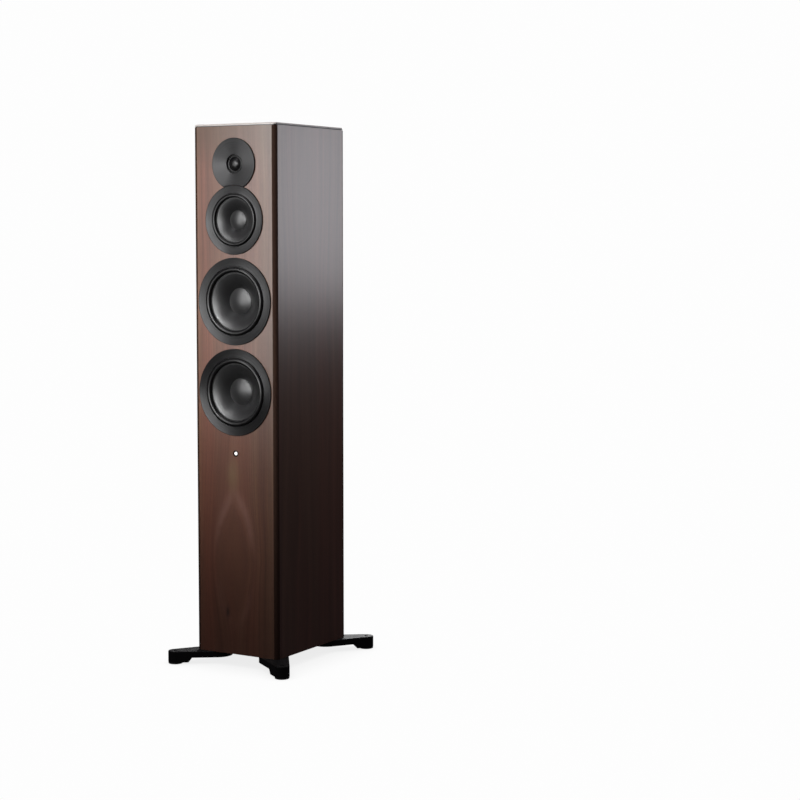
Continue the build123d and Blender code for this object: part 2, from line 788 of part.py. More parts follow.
def make_tweeter_motor():
    """The coil under the dome, and the front plate, magnet, yoke and rear cup behind it."""
    radius = TWEETER_DOME_RADIUS
    start = TWEETER_BOSS_DEPTH
    plate_end, magnet_end, yoke_end = start + 4.0, start + 12.0, start + 17.0
    cup_end = yoke_end + 20.0
    coil_start = TWEETER_DOME_EDGE + TWEETER_SKIN
    voice_coil = lathe(
        TWEETER_Z,
        [
            (radius - 0.6, coil_start),
            (radius, coil_start),
            (radius, plate_end + 1.0),
            (radius - 0.6, plate_end + 1.0),
        ],
    )
    front_plate = lathe(
        TWEETER_Z,
        [(radius + 0.6, start), (36.0, start), (36.0, plate_end), (radius + 0.6, plate_end)],
    )
    magnet = lathe(
        TWEETER_Z,
        [(18.0, plate_end), (34.0, plate_end), (34.0, magnet_end), (18.0, magnet_end)],
    )
    yoke = lathe(
        TWEETER_Z,
        [
            (4.0, start + 0.5),
            (radius - 1.2, start + 0.5),
            (radius - 1.2, magnet_end),
            (33.0, magnet_end),
            (33.0, yoke_end),
            (4.0, yoke_end),
        ],
    )
    rear_cup = lathe(
        TWEETER_Z,
        [
            (30.0, yoke_end),
            (32.0, yoke_end),
            (32.0, cup_end),
            (0, cup_end),
            (0, cup_end - 2.0),
            (30.0, cup_end - 2.0),
        ],
    )
    keep("tweeter_voice_coil", voice_coil)
    keep("tweeter_magnet_system", front_plate, magnet, yoke, rear_cup)


# ================================================================ status light
def make_status_light():
    """A round bezel in the baffle with a light guide through it."""
    bezel = lathe(
        STATUS_LIGHT_Z,
        [
            (4.2, -0.6),
            (6.4, -0.6),
            (6.8, -0.2),
            (6.8, 0),
            (5.5, 0),
            (5.5, 20.0),
            (4.2, 20.0),
        ],
    )
    lens = lathe(
        STATUS_LIGHT_Z,
        [(0, 0.2), (3.4, 0.2), (4.1, 0.8), (4.1, 22.0), (0, 22.0)],
    )
    keep("status_light_bezel", bezel)
    keep("status_light_lens", lens)


# ================================================================ feet
CORNERS = {
    "front_left": (-1, -1),
    "front_right": (1, -1),
    "rear_left": (-1, 1),
    "rear_right": (1, 1),
}


def along_arm(corner, reach):
    """The plan position at a distance from a cabinet corner, outwards along its diagonal."""
    x_sign, y_sign = corner
    step = reach / math.sqrt(2)
    return (x_sign * (HALF_WIDTH + step), y_sign * (CABINET_DEPTH / 2 + step))


def arm_plane(corner, height):
    """A horizontal plane at a cabinet corner, with local x out along the diagonal."""
    x_sign, y_sign = corner
    return Plane(
        origin=(x_sign * HALF_WIDTH, y_sign * CABINET_DEPTH / 2, height),
        x_dir=(x_sign, y_sign, 0),
        z_dir=(0, 0, 1),
    )


def make_arm(name, corner):
    """One cast outrigger: a tapered plate under the cabinet, deeper where the foot screws in."""
    tip = ARM_TIP_REACH
    boss_start = tip - ARM_BOSS_LENGTH
    slope_start = boss_start - ARM_BOSS_SLOPE
    past_root = -(ARM_ROOT_REACH + 2 * ARM_ROOT_RADIUS)
    under_z = BASE_Z - ARM_THICKNESS
    diagonal = (corner[0], corner[1], 0)
    with BuildPart() as arm:
        with BuildSketch(arm_plane(corner, PAD_THICKNESS)):
            with Locations((tip, 0)):
                Circle(ARM_TIP_RADIUS)
            with Locations((-ARM_ROOT_REACH, 0)):
                Circle(ARM_ROOT_RADIUS)
            make_hull()
        extrude(amount=BASE_Z - PAD_THICKNESS)
        side_view = Plane(
            origin=(corner[0] * HALF_WIDTH, corner[1] * CABINET_DEPTH / 2, 0),
            x_dir=diagonal,
            z_dir=Vector(*diagonal).cross(Vector(0, 0, 1)),
        )
        with BuildSketch(side_view):
            with BuildLine():
                Polyline(
                    (past_root, PAD_THICKNESS - 1.0),
                    (boss_start, PAD_THICKNESS - 1.0),
                    (boss_start, PAD_THICKNESS),
                    (slope_start, under_z),
                    (past_root, under_z),
                    close=True,
                )
            make_face()
        extrude(amount=2 * ARM_ROOT_RADIUS, both=True, mode=Mode.SUBTRACT)
        fillet(arm.faces().sort_by(Axis.Z)[-1].edges(), radius=ARM_EDGE)
        with BuildSketch(Plane.XY.offset(PAD_THICKNESS)):
            with Locations(along_arm(corner, tip)):
                Circle(STUD_RADIUS + STUD_CLEARANCE)
        extrude(amount=BASE_Z, mode=Mode.SUBTRACT)
        with BuildSketch(Plane.XY.offset(under_z)):
            with Locations(*[along_arm(corner, -reach) for reach in ARM_BOLT_REACHES]):
                Circle(ARM_BOLT_RADIUS + SLIP_FIT)
        extrude(amount=ARM_THICKNESS, mode=Mode.SUBTRACT)
        with BuildSketch(Plane.XY.offset(under_z)):
            with Locations(*[along_arm(corner, -reach) for reach in ARM_BOLT_REACHES]):
                Circle(ARM_BOLT_HEAD_RADIUS + LOOSE_FIT)
        extrude(amount=ARM_BOLT_HEAD + 1.0, mode=Mode.SUBTRACT)
    keep(f"{name}_arm", arm)


def make_levelling_foot(name, corner):
    """The rubber-faced pad, and the stud with a hex socket that drives it up and down."""
    with BuildPart() as pad:
        with BuildSketch():
            with Locations(along_arm(corner, ARM_TIP_REACH)):
                Circle(PAD_RADIUS)
        extrude(amount=PAD_THICKNESS)
        fillet(pad.faces().sort_by(Axis.Z)[0].edges(), radius=1.2)
        with BuildSketch(Plane.XY.offset(1.4)):
            with Locations(along_arm(corner, ARM_TIP_REACH)):
                Circle(STUD_RADIUS + STUD_CLEARANCE)
        extrude(amount=PAD_THICKNESS, mode=Mode.SUBTRACT)
    keep(f"{name}_foot_pad", pad)
    with BuildPart() as stud:
        with BuildSketch(Plane.XY.offset(1.5)):
            with Locations(along_arm(corner, ARM_TIP_REACH)):
                Circle(STUD_RADIUS)
        extrude(amount=STUD_TOP_Z - 1.5)
        chamfer(stud.faces().sort_by(Axis.Z)[-1].edges(), length=0.6)
        with BuildSketch(Plane.XY.offset(STUD_TOP_Z - 5.0)):
            with Locations(along_arm(corner, ARM_TIP_REACH)):
                RegularPolygon(HEX_SOCKET_RADIUS, 6)
        extrude(amount=6.0, mode=Mode.SUBTRACT)
    keep(f"{name}_levelling_screw", stud)


def make_feet():
    for name, corner in CORNERS.items():
        make_arm(name, corner)
        make_levelling_foot(name, corner)
    under_z = BASE_Z - ARM_THICKNESS
    with BuildPart() as arm_bolts:
        for corner in CORNERS.values():
            spots = [along_arm(corner, -reach) for reach in ARM_BOLT_REACHES]
            with BuildSketch(Plane.XY.offset(under_z + 1.0)):
                with Locations(*spots):
                    Circle(ARM_BOLT_HEAD_RADIUS)
            extrude(amount=ARM_BOLT_HEAD)
            with BuildSketch(Plane.XY.offset(under_z + 1.0)):
                with Locations(*spots):
                    Circle(ARM_BOLT_RADIUS)
            extrude(amount=ARM_BOLT_TOP_Z - under_z - 1.0)
            with BuildSketch(Plane.XY.offset(under_z + 1.0)):
                with Locations(*spots):
                    RegularPolygon(HEX_SOCKET_RADIUS, 6)
            extrude(amount=3.0, mode=Mode.SUBTRACT)
    keep("arm_bolts", arm_bolts)


# ================================================================ rear electronics
def amp_screw_spots():
    """The screws round the edge of the amplifier plate, as (x, z)."""
    side_x = AMP_HALF_WIDTH - PANEL_SCREW_INSET
    low_z, high_z = AMP_BOTTOM_Z + PANEL_SCREW_INSET, AMP_TOP_Z - PANEL_SCREW_INSET
    rows = 5
    heights = [low_z + i * (high_z - low_z) / (rows - 1) for i in range(rows)]
    return [(side * side_x, z) for side in (-1, 1) for z in heights]


def make_amp_panel():
    """The flush aluminium plate, cut for the inlet, sockets, switch and button."""
    with BuildPart() as amp_panel:
        with BuildSketch(rear_plane(BACK)):
            with Locations((0, AMP_MIDDLE_Z)):
                Rectangle(2 * AMP_HALF_WIDTH, AMP_HEIGHT)
            with Locations((INLET_X, INLET_Z)):
                Rectangle(INLET_BODY[0], INLET_BODY[1], mode=Mode.SUBTRACT)
            with Locations(*RCA_SPOTS):
                Circle(RCA_BARREL_RADIUS, mode=Mode.SUBTRACT)
            with Locations(OPTICAL_SPOT):
                Rectangle(OPTICAL_SIDE, OPTICAL_SIDE, mode=Mode.SUBTRACT)
            with Locations(NETWORK_SPOT):
                Rectangle(NETWORK_BODY[0], NETWORK_BODY[1], mode=Mode.SUBTRACT)
            with Locations(SWITCH_SPOT):
                Rectangle(*SWITCH_SLOT, mode=Mode.SUBTRACT)
            with Locations(BUTTON_SPOT):
                Circle(BUTTON_RADIUS + SLIP_FIT, mode=Mode.SUBTRACT)
            with Locations(*amp_screw_spots()):
                Circle(SCREW_RADIUS + 0.2, mode=Mode.SUBTRACT)
        extrude(amount=AMP_PLATE)
    keep("amp_panel", amp_panel)


def make_heat_sink():
    """A finned extrusion on the upper half of the plate."""
    height = SINK_TOP_Z - SINK_BOTTOM_Z
    pitch = (SINK_WIDTH - FIN_THICKNESS) / (FIN_COUNT - 1)
    with BuildPart() as heat_sink:
        with BuildSketch(Plane.XY.offset(SINK_BOTTOM_Z)):
            with Locations((0, BACK + SINK_BASE / 2)):
                Rectangle(SINK_WIDTH, SINK_BASE)
            with Locations((0, BACK + SINK_BASE + FIN_HEIGHT / 2)):
                with GridLocations(pitch, 1, FIN_COUNT, 1):
                    Rectangle(FIN_THICKNESS, FIN_HEIGHT)
        extrude(amount=height)
    keep("heat_sink", heat_sink)


def make_housing():
    """The folded steel tub that seals the electronics off from the woofers' air."""
    outer_x = AMP_HALF_WIDTH - AMP_RIM - 1.0
    low_z, high_z = AMP_BOTTOM_Z + AMP_RIM + 1.0, AMP_TOP_Z - AMP_RIM - 1.0
    wall = HOUSING_WALL
    with BuildPart() as housing:
        add(block((-outer_x, HOUSING_FRONT, low_z), (outer_x, AMP_PLATE_INSIDE, high_z)).part)
        add(
            block(
                (-outer_x + wall, HOUSING_FRONT + wall, low_z + wall),
                (outer_x - wall, AMP_PLATE_INSIDE, high_z - wall),
            ).part,
            mode=Mode.SUBTRACT,
        )
        with BuildSketch(Plane.XY.offset(high_z - wall)):
            with Locations(*[(x, WIRE_Y) for x in WIRE_STARTS.values()]):
                Circle(WIRE_RADIUS + 0.4)
        extrude(amount=wall, mode=Mode.SUBTRACT)
    keep("electronics_housing", housing)


def make_boards():
    """The amplifier board behind the heat sink and the power supply board under it."""
    with BuildPart() as amplifier_board:
        add(block((-60.0, 104.0, 262.0), (60.0, 105.6, 410.0)).part)
        with BuildSketch(rear_plane(104.0)):
            with Locations((-35.0, 300.0), (-12.0, 300.0), (12.0, 300.0), (35.0, 300.0)):
                Circle(9.0)
        extrude(amount=12.0)
        with BuildSketch(rear_plane(AMP_PLATE_INSIDE)):
            with Locations((-30.0, 365.0), (30.0, 365.0)):
                Rectangle(44.0, 30.0)
        extrude(amount=AMP_PLATE_INSIDE - 105.0)
    with BuildPart() as power_board:
        add(block((-60.0, 66.0, 84.0), (60.0, 67.6, 244.0)).part)
        add(block((5.0, 67.6, 160.0), (45.0, 98.0, 210.0)).part)
        with BuildSketch(rear_plane(67.6)):
            with Locations((-40.0, 170.0), (-40.0, 205.0), (-12.0, 190.0)):
                Circle(11.0)
        extrude(amount=-24.0)
    keep("electronics_boards", amplifier_board, power_board)


def make_mains_inlet():
    """The combined mains inlet and switch frame, with three blades in its recess."""
    recess_z = INLET_Z - INLET_RECESS_DROP
    rocker_z = INLET_Z + ROCKER_RISE
    outside = BACK + INLET_FLANGE[2]
    with BuildPart() as mains_inlet:
        with BuildSketch(rear_plane(BACK)):
            with Locations((INLET_X, INLET_Z)):
                Rectangle(INLET_BODY[0], INLET_BODY[1])
        extrude(amount=INLET_BODY[2])
        with BuildSketch(rear_plane(outside)):
            with Locations((INLET_X, INLET_Z)):
                RectangleRounded(INLET_FLANGE[0], INLET_FLANGE[1], 3.0)
        extrude(amount=INLET_FLANGE[2])
        with BuildSketch(rear_plane(outside)):
            with Locations((INLET_X, recess_z)):
                Rectangle(INLET_RECESS[0], INLET_RECESS[1])
        extrude(amount=INLET_RECESS[2], mode=Mode.SUBTRACT)
        with BuildSketch(rear_plane(outside)):
            with Locations((INLET_X, rocker_z)):
                Rectangle(ROCKER_POCKET[0], ROCKER_POCKET[1])
        extrude(amount=ROCKER_POCKET[2], mode=Mode.SUBTRACT)
        with BuildSketch(rear_plane(outside - 5.0)):
            with Locations((INLET_X - 7.0, recess_z - 2.0), (INLET_X + 7.0, recess_z - 2.0)):
                Rectangle(2.0, 4.0)
            with Locations((INLET_X, recess_z + 2.0)):
                Rectangle(2.0, 4.0)
        extrude(amount=INLET_RECESS[2] - 5.0)
        with BuildSketch(Plane.YZ.offset(INLET_X)):
            with Locations((ROCKER_PIVOT_Y, rocker_z)):
                Circle(PIVOT_RADIUS + 0.06)
        extrude(amount=ROCKER_POCKET[0] / 2 + 1.0, both=True, mode=Mode.SUBTRACT)
    keep("mains_inlet", mains_inlet)


def make_power_rocker():
    """The mains switch's rocker on its pivot pin, at rest with its upper end pressed in."""
    rocker_z = INLET_Z + ROCKER_RISE
    tilted = Plane(
        origin=(INLET_X, ROCKER_PIVOT_Y, rocker_z),
        x_dir=Vector(0, 1, 0).rotate(Axis.X, ROCKER_TILT),
        z_dir=(1, 0, 0),
    )
    with BuildPart() as power_rocker:
        with BuildSketch(tilted):
            with BuildLine():
                Polyline(
                    (5.6, -9.0),
                    (4.3, 0),
                    (5.6, 9.0),
                    (1.5, 9.0),
                    (-4.0, 3.0),
                    (-4.0, -3.0),
                    (1.5, -9.0),
                    close=True,
                )
            make_face()
        extrude(amount=ROCKER_WIDTH / 2, both=True)
        with BuildSketch(tilted):
            Circle(PIVOT_RADIUS)
        extrude(amount=ROCKER_WIDTH / 2 + 1.2, both=True)
    keep("power_rocker", power_rocker)


def make_signal_sockets():
    """Four phono sockets, a shuttered optical socket and a network socket."""
    outside = BACK + RCA_LENGTH
    sockets = []
    for x, z in RCA_SPOTS:
        with BuildPart() as phono:
            with BuildSketch(rear_plane(outside)):
                with Locations((x, z)):
                    Circle(RCA_BARREL_RADIUS)
            extrude(amount=RCA_LENGTH + 12.0)
            with BuildSketch(rear_plane(BACK + 2.0)):
                with Locations((x, z)):
                    Circle(RCA_FLANGE_RADIUS)
            extrude(amount=2.0)
            with BuildSketch(rear_plane(outside)):
                with Locations((x, z)):
                    Circle(1.6)
            extrude(amount=9.0, mode=Mode.SUBTRACT)
        sockets.append(phono)
    with BuildPart() as optical:
        with BuildSketch(rear_plane(BACK + 1.5)):
            with Locations(OPTICAL_SPOT):
                Rectangle(OPTICAL_SIDE, OPTICAL_SIDE)
        extrude(amount=16.0)
        with BuildSketch(rear_plane(BACK + 1.5)):
            with Locations(OPTICAL_SPOT):
                Rectangle(OPTICAL_SIDE - 3.0, OPTICAL_SIDE - 3.0)
        extrude(amount=1.0, mode=Mode.SUBTRACT)
    sockets.append(optical)
    with BuildPart() as network:
        with BuildSketch(rear_plane(BACK + 1.0)):
            with Locations(NETWORK_SPOT):
                Rectangle(NETWORK_BODY[0], NETWORK_BODY[1])
        extrude(amount=NETWORK_BODY[2])
        with BuildSketch(rear_plane(BACK + 1.0)):
            with Locations(NETWORK_SPOT):
                Rectangle(NETWORK_HOLE[0], NETWORK_HOLE[1])
        extrude(amount=NETWORK_HOLE[2], mode=Mode.SUBTRACT)
    sockets.append(network)
    keep("signal_sockets", *sockets)


def make_controls():
    """The sliding placement switch and the pairing button, each with a flange behind the plate."""
    x, z = SWITCH_SPOT
    knob_half = SWITCH_KNOB[0] / 2
    with BuildPart() as placement_switch:
        add(block((x - knob_half, 129.0, z - 2.0), (x + knob_half, BACK + 2.2, z + 2.0)).part)
        add(block((x - 5.0, 127.5, z - 5.0), (x + 5.0, AMP_PLATE_INSIDE - 0.4, z + 5.0)).part)
        chamfer(placement_switch.faces().sort_by(Axis.Y)[-1].edges(), length=0.4)
    keep("placement_switch", placement_switch)
    x, z = BUTTON_SPOT
    with BuildPart() as pair_button:
        with BuildSketch(rear_plane(BACK + 1.8)):
            with Locations((x, z)):
                Circle(BUTTON_RADIUS)
        extrude(amount=8.0)
        fillet(pair_button.faces().sort_by(Axis.Y)[-1].edges(), radius=0.6)
        with BuildSketch(rear_plane(AMP_PLATE_INSIDE - 0.2)):
            with Locations((x, z)):
                Circle(BUTTON_RADIUS + 2.0)
        extrude(amount=1.5)
    keep("pair_button", pair_button)


def make_panel_screws():
    """Every black countersunk-style screw: those of the drive units and of the amplifier plate."""
    with BuildPart() as panel_screws:
        for unit in CONE_DRIVERS:
            for start, radius, length in (
                (0.6, SCREW_HEAD_RADIUS, 2.4),
                (1.0, SCREW_RADIUS, SCREW_LENGTH - 2.0),
            ):
                with BuildSketch(front_plane(start, unit.z)):
                    with PolarLocations(screw_circle(unit), unit.screws, start_angle=90):
                        Circle(radius)
                extrude(amount=-length)
        with BuildSketch(rear_plane(BACK + 1.6)):
            with Locations(*amp_screw_spots()):
                Circle(SCREW_HEAD_RADIUS)
        extrude(amount=1.6)
        with BuildSketch(rear_plane(BACK)):
            with Locations(*amp_screw_spots()):
                Circle(SCREW_RADIUS)
        extrude(amount=SCREW_LENGTH - 3.0)
        with BuildSketch(rear_plane(BACK + 1.6)):
            with Locations(*amp_screw_spots()):
                RegularPolygon(1.8, 6)
        extrude(amount=1.2, mode=Mode.SUBTRACT)
    keep("panel_screws", panel_screws)


# ================================================================ wiring
def make_wiring():
    """An insulated pair from the housing to each drive unit's terminals and to the light."""
    start_z = AMP_TOP_Z - AMP_RIM - 10.0
    tweeter_end = FACE + TWEETER_BOSS_DEPTH + 37.0
    light_end = FACE + 22.0
    pairs = []
    for unit in CONE_DRIVERS:
        x = WIRE_STARTS[unit.name]
        route = [
            (x, WIRE_Y, start_z),
            (x, WIRE_Y, unit.z),
            (WIRE_SIDE_X, WIRE_Y, unit.z),
            (WIRE_SIDE_X, FACE + unit.basket_depth, unit.z),
        ]
        pairs.append(wire(route))
    for name, height, end_y in (
        ("tweeter", TWEETER_Z, tweeter_end),
        ("status_light", STATUS_LIGHT_Z, light_end),
    ):
        x = WIRE_STARTS[name]
        pairs.append(wire([(x, WIRE_Y, start_z), (x, WIRE_Y, height), (x, end_y, height)]))
    keep("wiring_harness", *pairs)


def wire(route):
    """A round wire along straight runs joined by tangent arcs."""
    with BuildPart() as pair:
        with BuildLine() as path:
            FilletPolyline(*route, radius=WIRE_BEND)
        with BuildSketch(Plane(origin=route[0], z_dir=(0, 0, 1))):
            Circle(WIRE_RADIUS)
        sweep(path=path.wires()[0])
    return pair


make_front_baffle()
make_side_panels()
make_rear_panel()
make_top_panel()
make_bottom_panel()
make_braces()
make_midrange_chamber()
make_damping_pads()
make_cone_drivers()
make_tweeter_faceplate()
make_tweeter_dome()
make_tweeter_suspension()
make_tweeter_motor()
make_status_light()
make_feet()
make_amp_panel()
make_heat_sink()
make_housing()
make_boards()
make_mains_inlet()
make_power_rocker()
make_signal_sockets()
make_controls()
make_panel_screws()
make_wiring()
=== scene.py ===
"""Looks for the floorstanding speaker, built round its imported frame.

Metres, +Z up, the baffle faces -Y. Outlines of turned pieces are in millimetres, as
(radius, depth behind the baffle's front). Colours are linear.
"""

import math

import bmesh
import bpy
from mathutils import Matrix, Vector

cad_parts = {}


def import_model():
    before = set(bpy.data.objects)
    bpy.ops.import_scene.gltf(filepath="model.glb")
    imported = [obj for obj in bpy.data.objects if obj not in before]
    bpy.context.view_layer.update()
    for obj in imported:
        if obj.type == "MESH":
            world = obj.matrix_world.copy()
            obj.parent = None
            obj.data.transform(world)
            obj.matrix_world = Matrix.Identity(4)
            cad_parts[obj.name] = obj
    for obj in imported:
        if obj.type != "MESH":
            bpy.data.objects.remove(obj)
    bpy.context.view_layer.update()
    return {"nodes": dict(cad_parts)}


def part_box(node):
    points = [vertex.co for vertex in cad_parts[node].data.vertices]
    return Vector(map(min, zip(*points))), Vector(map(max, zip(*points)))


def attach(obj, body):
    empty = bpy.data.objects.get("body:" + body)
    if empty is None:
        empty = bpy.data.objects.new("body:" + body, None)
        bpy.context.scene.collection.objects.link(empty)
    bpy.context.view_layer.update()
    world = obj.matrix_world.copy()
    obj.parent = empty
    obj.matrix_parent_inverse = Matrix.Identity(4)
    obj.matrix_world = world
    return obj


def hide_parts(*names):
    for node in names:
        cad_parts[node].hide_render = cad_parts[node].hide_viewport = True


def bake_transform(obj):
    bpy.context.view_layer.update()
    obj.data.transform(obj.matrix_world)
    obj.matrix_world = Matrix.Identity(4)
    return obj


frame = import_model()
NODES = frame["nodes"]

# ------------------------------------------------------------------ sizes
MM = 0.001

# read from the frame
FACE_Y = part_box("front_baffle")[0].y
HALF_WIDTH, HALF_DEPTH, TOP_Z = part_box("top_panel")[1]
BASE_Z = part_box("bottom_panel")[0].z
SOCKET_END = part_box("signal_sockets")[1].y

# as in the CAD, where the frame's boxes don't give them
EDGE_RADIUS = 9 * MM
CAP_UNDER = TOP_Z - 4.0 * MM
PHONO_X = 24.0 * MM
PHONO_Z = 205.0 * MM
PHONO_HALF_SPACING = Vector((12.0 * MM, 0.0, 15.0 * MM))

# how far in from the lid's edge it is pale
CAP_RIM = 4.0 * MM

# the almond in the front's grain, and the places of the marks round it
FIGURE_X = -0.003
FIGURE_Z = BASE_Z + 0.203
FIGURE_HALF_WIDTH = 0.053
FIGURE_HALF_HEIGHT = 0.148
FIGURE_ROUNDNESS = 1.5
KNOT_X = -0.0235
KNOT_Z = FIGURE_Z - 0.113
STRIPE_X = -0.094
LOW_LEFT_X = -0.045
# where the painted shade towards the top of the front begins and ends
TOP_SHADE_LOW_Z = TOP_Z - 0.115
TOP_SHADE_HIGH_Z = TOP_Z - 0.01

# turned pieces, in mm
SEAT = 1.4  # depth of the ledge that a surround is glued to
RUBBER = 1.0
ROLL_LIP = 2.0  # a surround's lip on the cone
BASKET_LIP = 4.5
CREST_PROUD = 0.5  # added to a roll's height, as in the CAD
CONE_WALL = 1.1
CONE_LIP = 2.5  # the flat at a cone's edge, under its surround
DOME_SEAM = 1.0  # half the width of the groove round a cone's dome
SEAM_DEPTH = 0.8
RING_RISE = 3.0
RIM_ROUNDING = 0.8
RIM_MIDDLE = 0.23  # how far in the rounding's middle is, from each side of the square corner
RING_DISH = 1.95
RING_INNER_RISE = 1.55
RING_INNER_ROUNDING = 1.2
MIDRANGE_RING = (56.6, 73.4)
WOOFER_RING = (74.3, 93.0)
PLATE_RADIUS = 55.0
PLATE_BACK = 7.0
THROAT = 20.2
BOSS_RADIUS = 41.5
PLATE_DISH = 1.2
THROAT_ROUNDING = 0.9
CLEAR_RING = 73.7
DOME_RADIUS = 14.0
DOME_EDGE = 5.2
DOME_HEIGHT = 5.6
DOME_SHOULDER = (10.0, 1.75)
DOME_SKIN = 0.5
TWEETER_ROLL = (14.25, 18.2)
TWEETER_ROLL_CREST = (16.2, DOME_EDGE - 1.5)
CLAMP_RADIUS = 19.9
BEZEL_RADIUS = 6.8
BEZEL_BORE = 4.2
BEZEL_BODY = 5.5
LENS_RADIUS = 4.1

# facets round a turned piece, and the angle from which an edge is sharp
RING_SEGMENTS = 320
CONE_SEGMENTS = 256
PLATE_SEGMENTS = 448
DOME_SEGMENTS = 160
LIGHT_SEGMENTS = 96
SHARP_EDGE = math.radians(32.0)

# fitted to the photograph's viewing angle
CAMERA_AZIMUTH = 34.43
CAMERA_DISTANCE = 4.1
CAMERA_HEIGHT = 0.9335
CAMERA_YAW = -3.946
CAMERA_PITCH = 4.379
CAMERA_FOCAL_PIXELS = 1872.6
CAMERA_SHIFT_Y = -0.03
FRAME_PIXELS = 800
SENSOR_WIDTH = 36.0


def colour(r, g, b):
    return (r, g, b, 1.0)


def grey(value):
    return (value, value, value, 1.0)


# ------------------------------------------------------------------ materials
class Surface:
    """One procedural material: a Principled shader and the nodes that feed it."""

    def __init__(self, name, **settings):
        self.material = bpy.data.materials.new(name)
        self.material.use_nodes = True
        self.tree = self.material.node_tree
        self.shader = self.tree.nodes["Principled BSDF"]
        self.set(**settings)
        self.position = self.add("TexCoord", output="Object")

    def set(self, **settings):
        for name, value in settings.items():
            self.feed(self.shader.inputs[name.replace("_", " ")], value)

    def feed(self, socket, value):
        if isinstance(value, bpy.types.NodeSocket):
            self.tree.links.new(value, socket)
        else:
            socket.default_value = value

    def add(self, kind, inputs=None, output=0, **properties):
        node = self.tree.nodes.new("ShaderNode" + kind)
        for name, value in properties.items():
            setattr(node, name, value)
        for key, value in (inputs or {}).items():
            self.feed(node.inputs[key], value)
        return node.outputs[output]

    def math(self, operation, *values):
        return self.add("Math", dict(enumerate(values)), operation=operation)

    def times(self, a, b):
        return self.math("MULTIPLY", a, b)

    def plus(self, a, b):
        return self.math("ADD", a, b)

    def minus(self, a, b):
        return self.math("SUBTRACT", a, b)

    def axes(self):
        node = self.tree.nodes.new("ShaderNodeSeparateXYZ")
        self.feed(node.inputs[0], self.position)
        return node.outputs[0], node.outputs[1], node.outputs[2]

    def vector(self, x, y, z):
        return self.add("CombineXYZ", {0: x, 1: y, 2: z})

    def stretched(self, x, y, z):
        return self.add("VectorMath", {0: self.position, 1: (x, y, z)}, operation="MULTIPLY")

    def noise(self, vector, detail=3.0, roughness=0.5):
        inputs = {"Vector": vector, "Scale": 1.0, "Detail": detail, "Roughness": roughness}
        return self.add("TexNoise", inputs)

    def even_noise(self, frequency, detail=3.0):
        return self.noise(self.stretched(frequency, frequency, frequency), detail)

    def board_noise(self, across, seed, along, per_metre, detail=3.0, roughness=0.5):
        """Noise on a board, at a frequency across its grain and another along it."""
        x = self.times(across, per_metre[0])
        z = self.times(along, per_metre[1])
        return self.noise(self.vector(x, seed, z), detail, roughness)

    def span(self, value, low, high, to_low=0.0, to_high=1.0, smooth=True):
        inputs = {0: value, 1: low, 2: high, 3: to_low, 4: to_high}
        kind = "SMOOTHSTEP" if smooth else "LINEAR"
        return self.add("MapRange", inputs, interpolation_type=kind)

    def level(self, noise, low, high):
        """Noise's usual reach, mapped evenly to a range."""
        return self.span(noise, 0.3, 0.7, low, high, smooth=False)

    def hill(self, value, centre, width):
        """A bell curve: 1 at the centre, falling off over the width."""
        t = self.math("DIVIDE", self.minus(value, centre), width)
        return self.math("EXPONENT", self.times(self.times(t, t), -1.0))

    def distance(self, a, b):
        """The length of a vector with these two components."""
        return self.math("SQRT", self.plus(self.times(a, a), self.times(b, b)))

    def past(self, value, limit):
        """How far a coordinate is beyond a limit, on either side of zero."""
        return self.minus(self.math("ABSOLUTE", value), limit)

    def ramp(self, factor, *stops):
        node = self.tree.nodes.new("ShaderNodeValToRGB")
        elements = node.color_ramp.elements
        while len(elements) < len(stops):
            elements.new(0.5)
        for element, (place, tone) in zip(elements, stops):
            element.position = place
            element.color = (*tone, 1.0)
        self.feed(node.inputs[0], factor)
        return node.outputs[0]

    def mix(self, factor, a, b, blend="MIX"):
        inputs = {0: factor, 6: a, 7: b}
        return self.add("Mix", inputs, output=2, data_type="RGBA", blend_type=blend)

    def tinted(self, base, tint):
        return self.mix(1.0, base, tint, "MULTIPLY")

    def shaded(self, base, shade):
        return self.tinted(base, self.vector(shade, shade, shade))

    def stained(self, base, where, strength, tone):
        return self.mix(self.times(where, strength), base, tone)

    def bump(self, height, distance, strength):
        return self.add("Bump", {"Height": height, "Distance": distance, "Strength": strength})


# frequencies per metre, across the grain and along it
BANDS = (62.0, 1.3)
STRIPES = (330.0, 2.4)
FIBRES = (1500.0, 22.0)
PORES = (2600.0, 75.0)
BROAD = (16.0, 0.9)
SWAY = (7.0, 1.6)
RAGGED = (45.0, 24.0)
SWAY_REACH = 0.05
WOOD_BUMP = 0.00012

# where each tone of the bands sits in the noise
WOOD_TONES = (
    (0.28, (0.120, 0.049, 0.030)),
    (0.44, (0.166, 0.070, 0.044)),
    (0.58, (0.190, 0.084, 0.054)),
    (0.74, (0.228, 0.108, 0.071)),
)
# the tone of the painted shade on the rounded upright corners
CORNER_SHADE_TONE = colour(0.022, 0.008, 0.004)
CAP_EDGE_TONE = colour(0.62, 0.575, 0.54)


def almond(s, u, v, drift):
    """How far out a point is from the almond's middle, where 1 is its edge, and its offsets."""
    aside = s.minus(s.plus(u, s.times(drift, 0.25)), FIGURE_X)
    above = s.minus(v, FIGURE_Z)
    parts = []
    for offset, half in ((aside, FIGURE_HALF_WIDTH), (above, FIGURE_HALF_HEIGHT)):
        share = s.math("DIVIDE", s.math("ABSOLUTE", offset), half)
        parts.append(s.math("POWER", share, FIGURE_ROUNDNESS))
    return s.math("POWER", s.plus(*parts), 1 / FIGURE_ROUNDNESS), aside, above


def parted(s, u_flow, figure):
    """The grain's coordinate, pushed apart round the almond and closed above and below it."""
    outside = s.math("MAXIMUM", figure, 0.75)
    parting = s.minus(1.0, s.math("DIVIDE", 0.45, s.math("POWER", outside, 3.0)))
    return s.times(u_flow, parting)


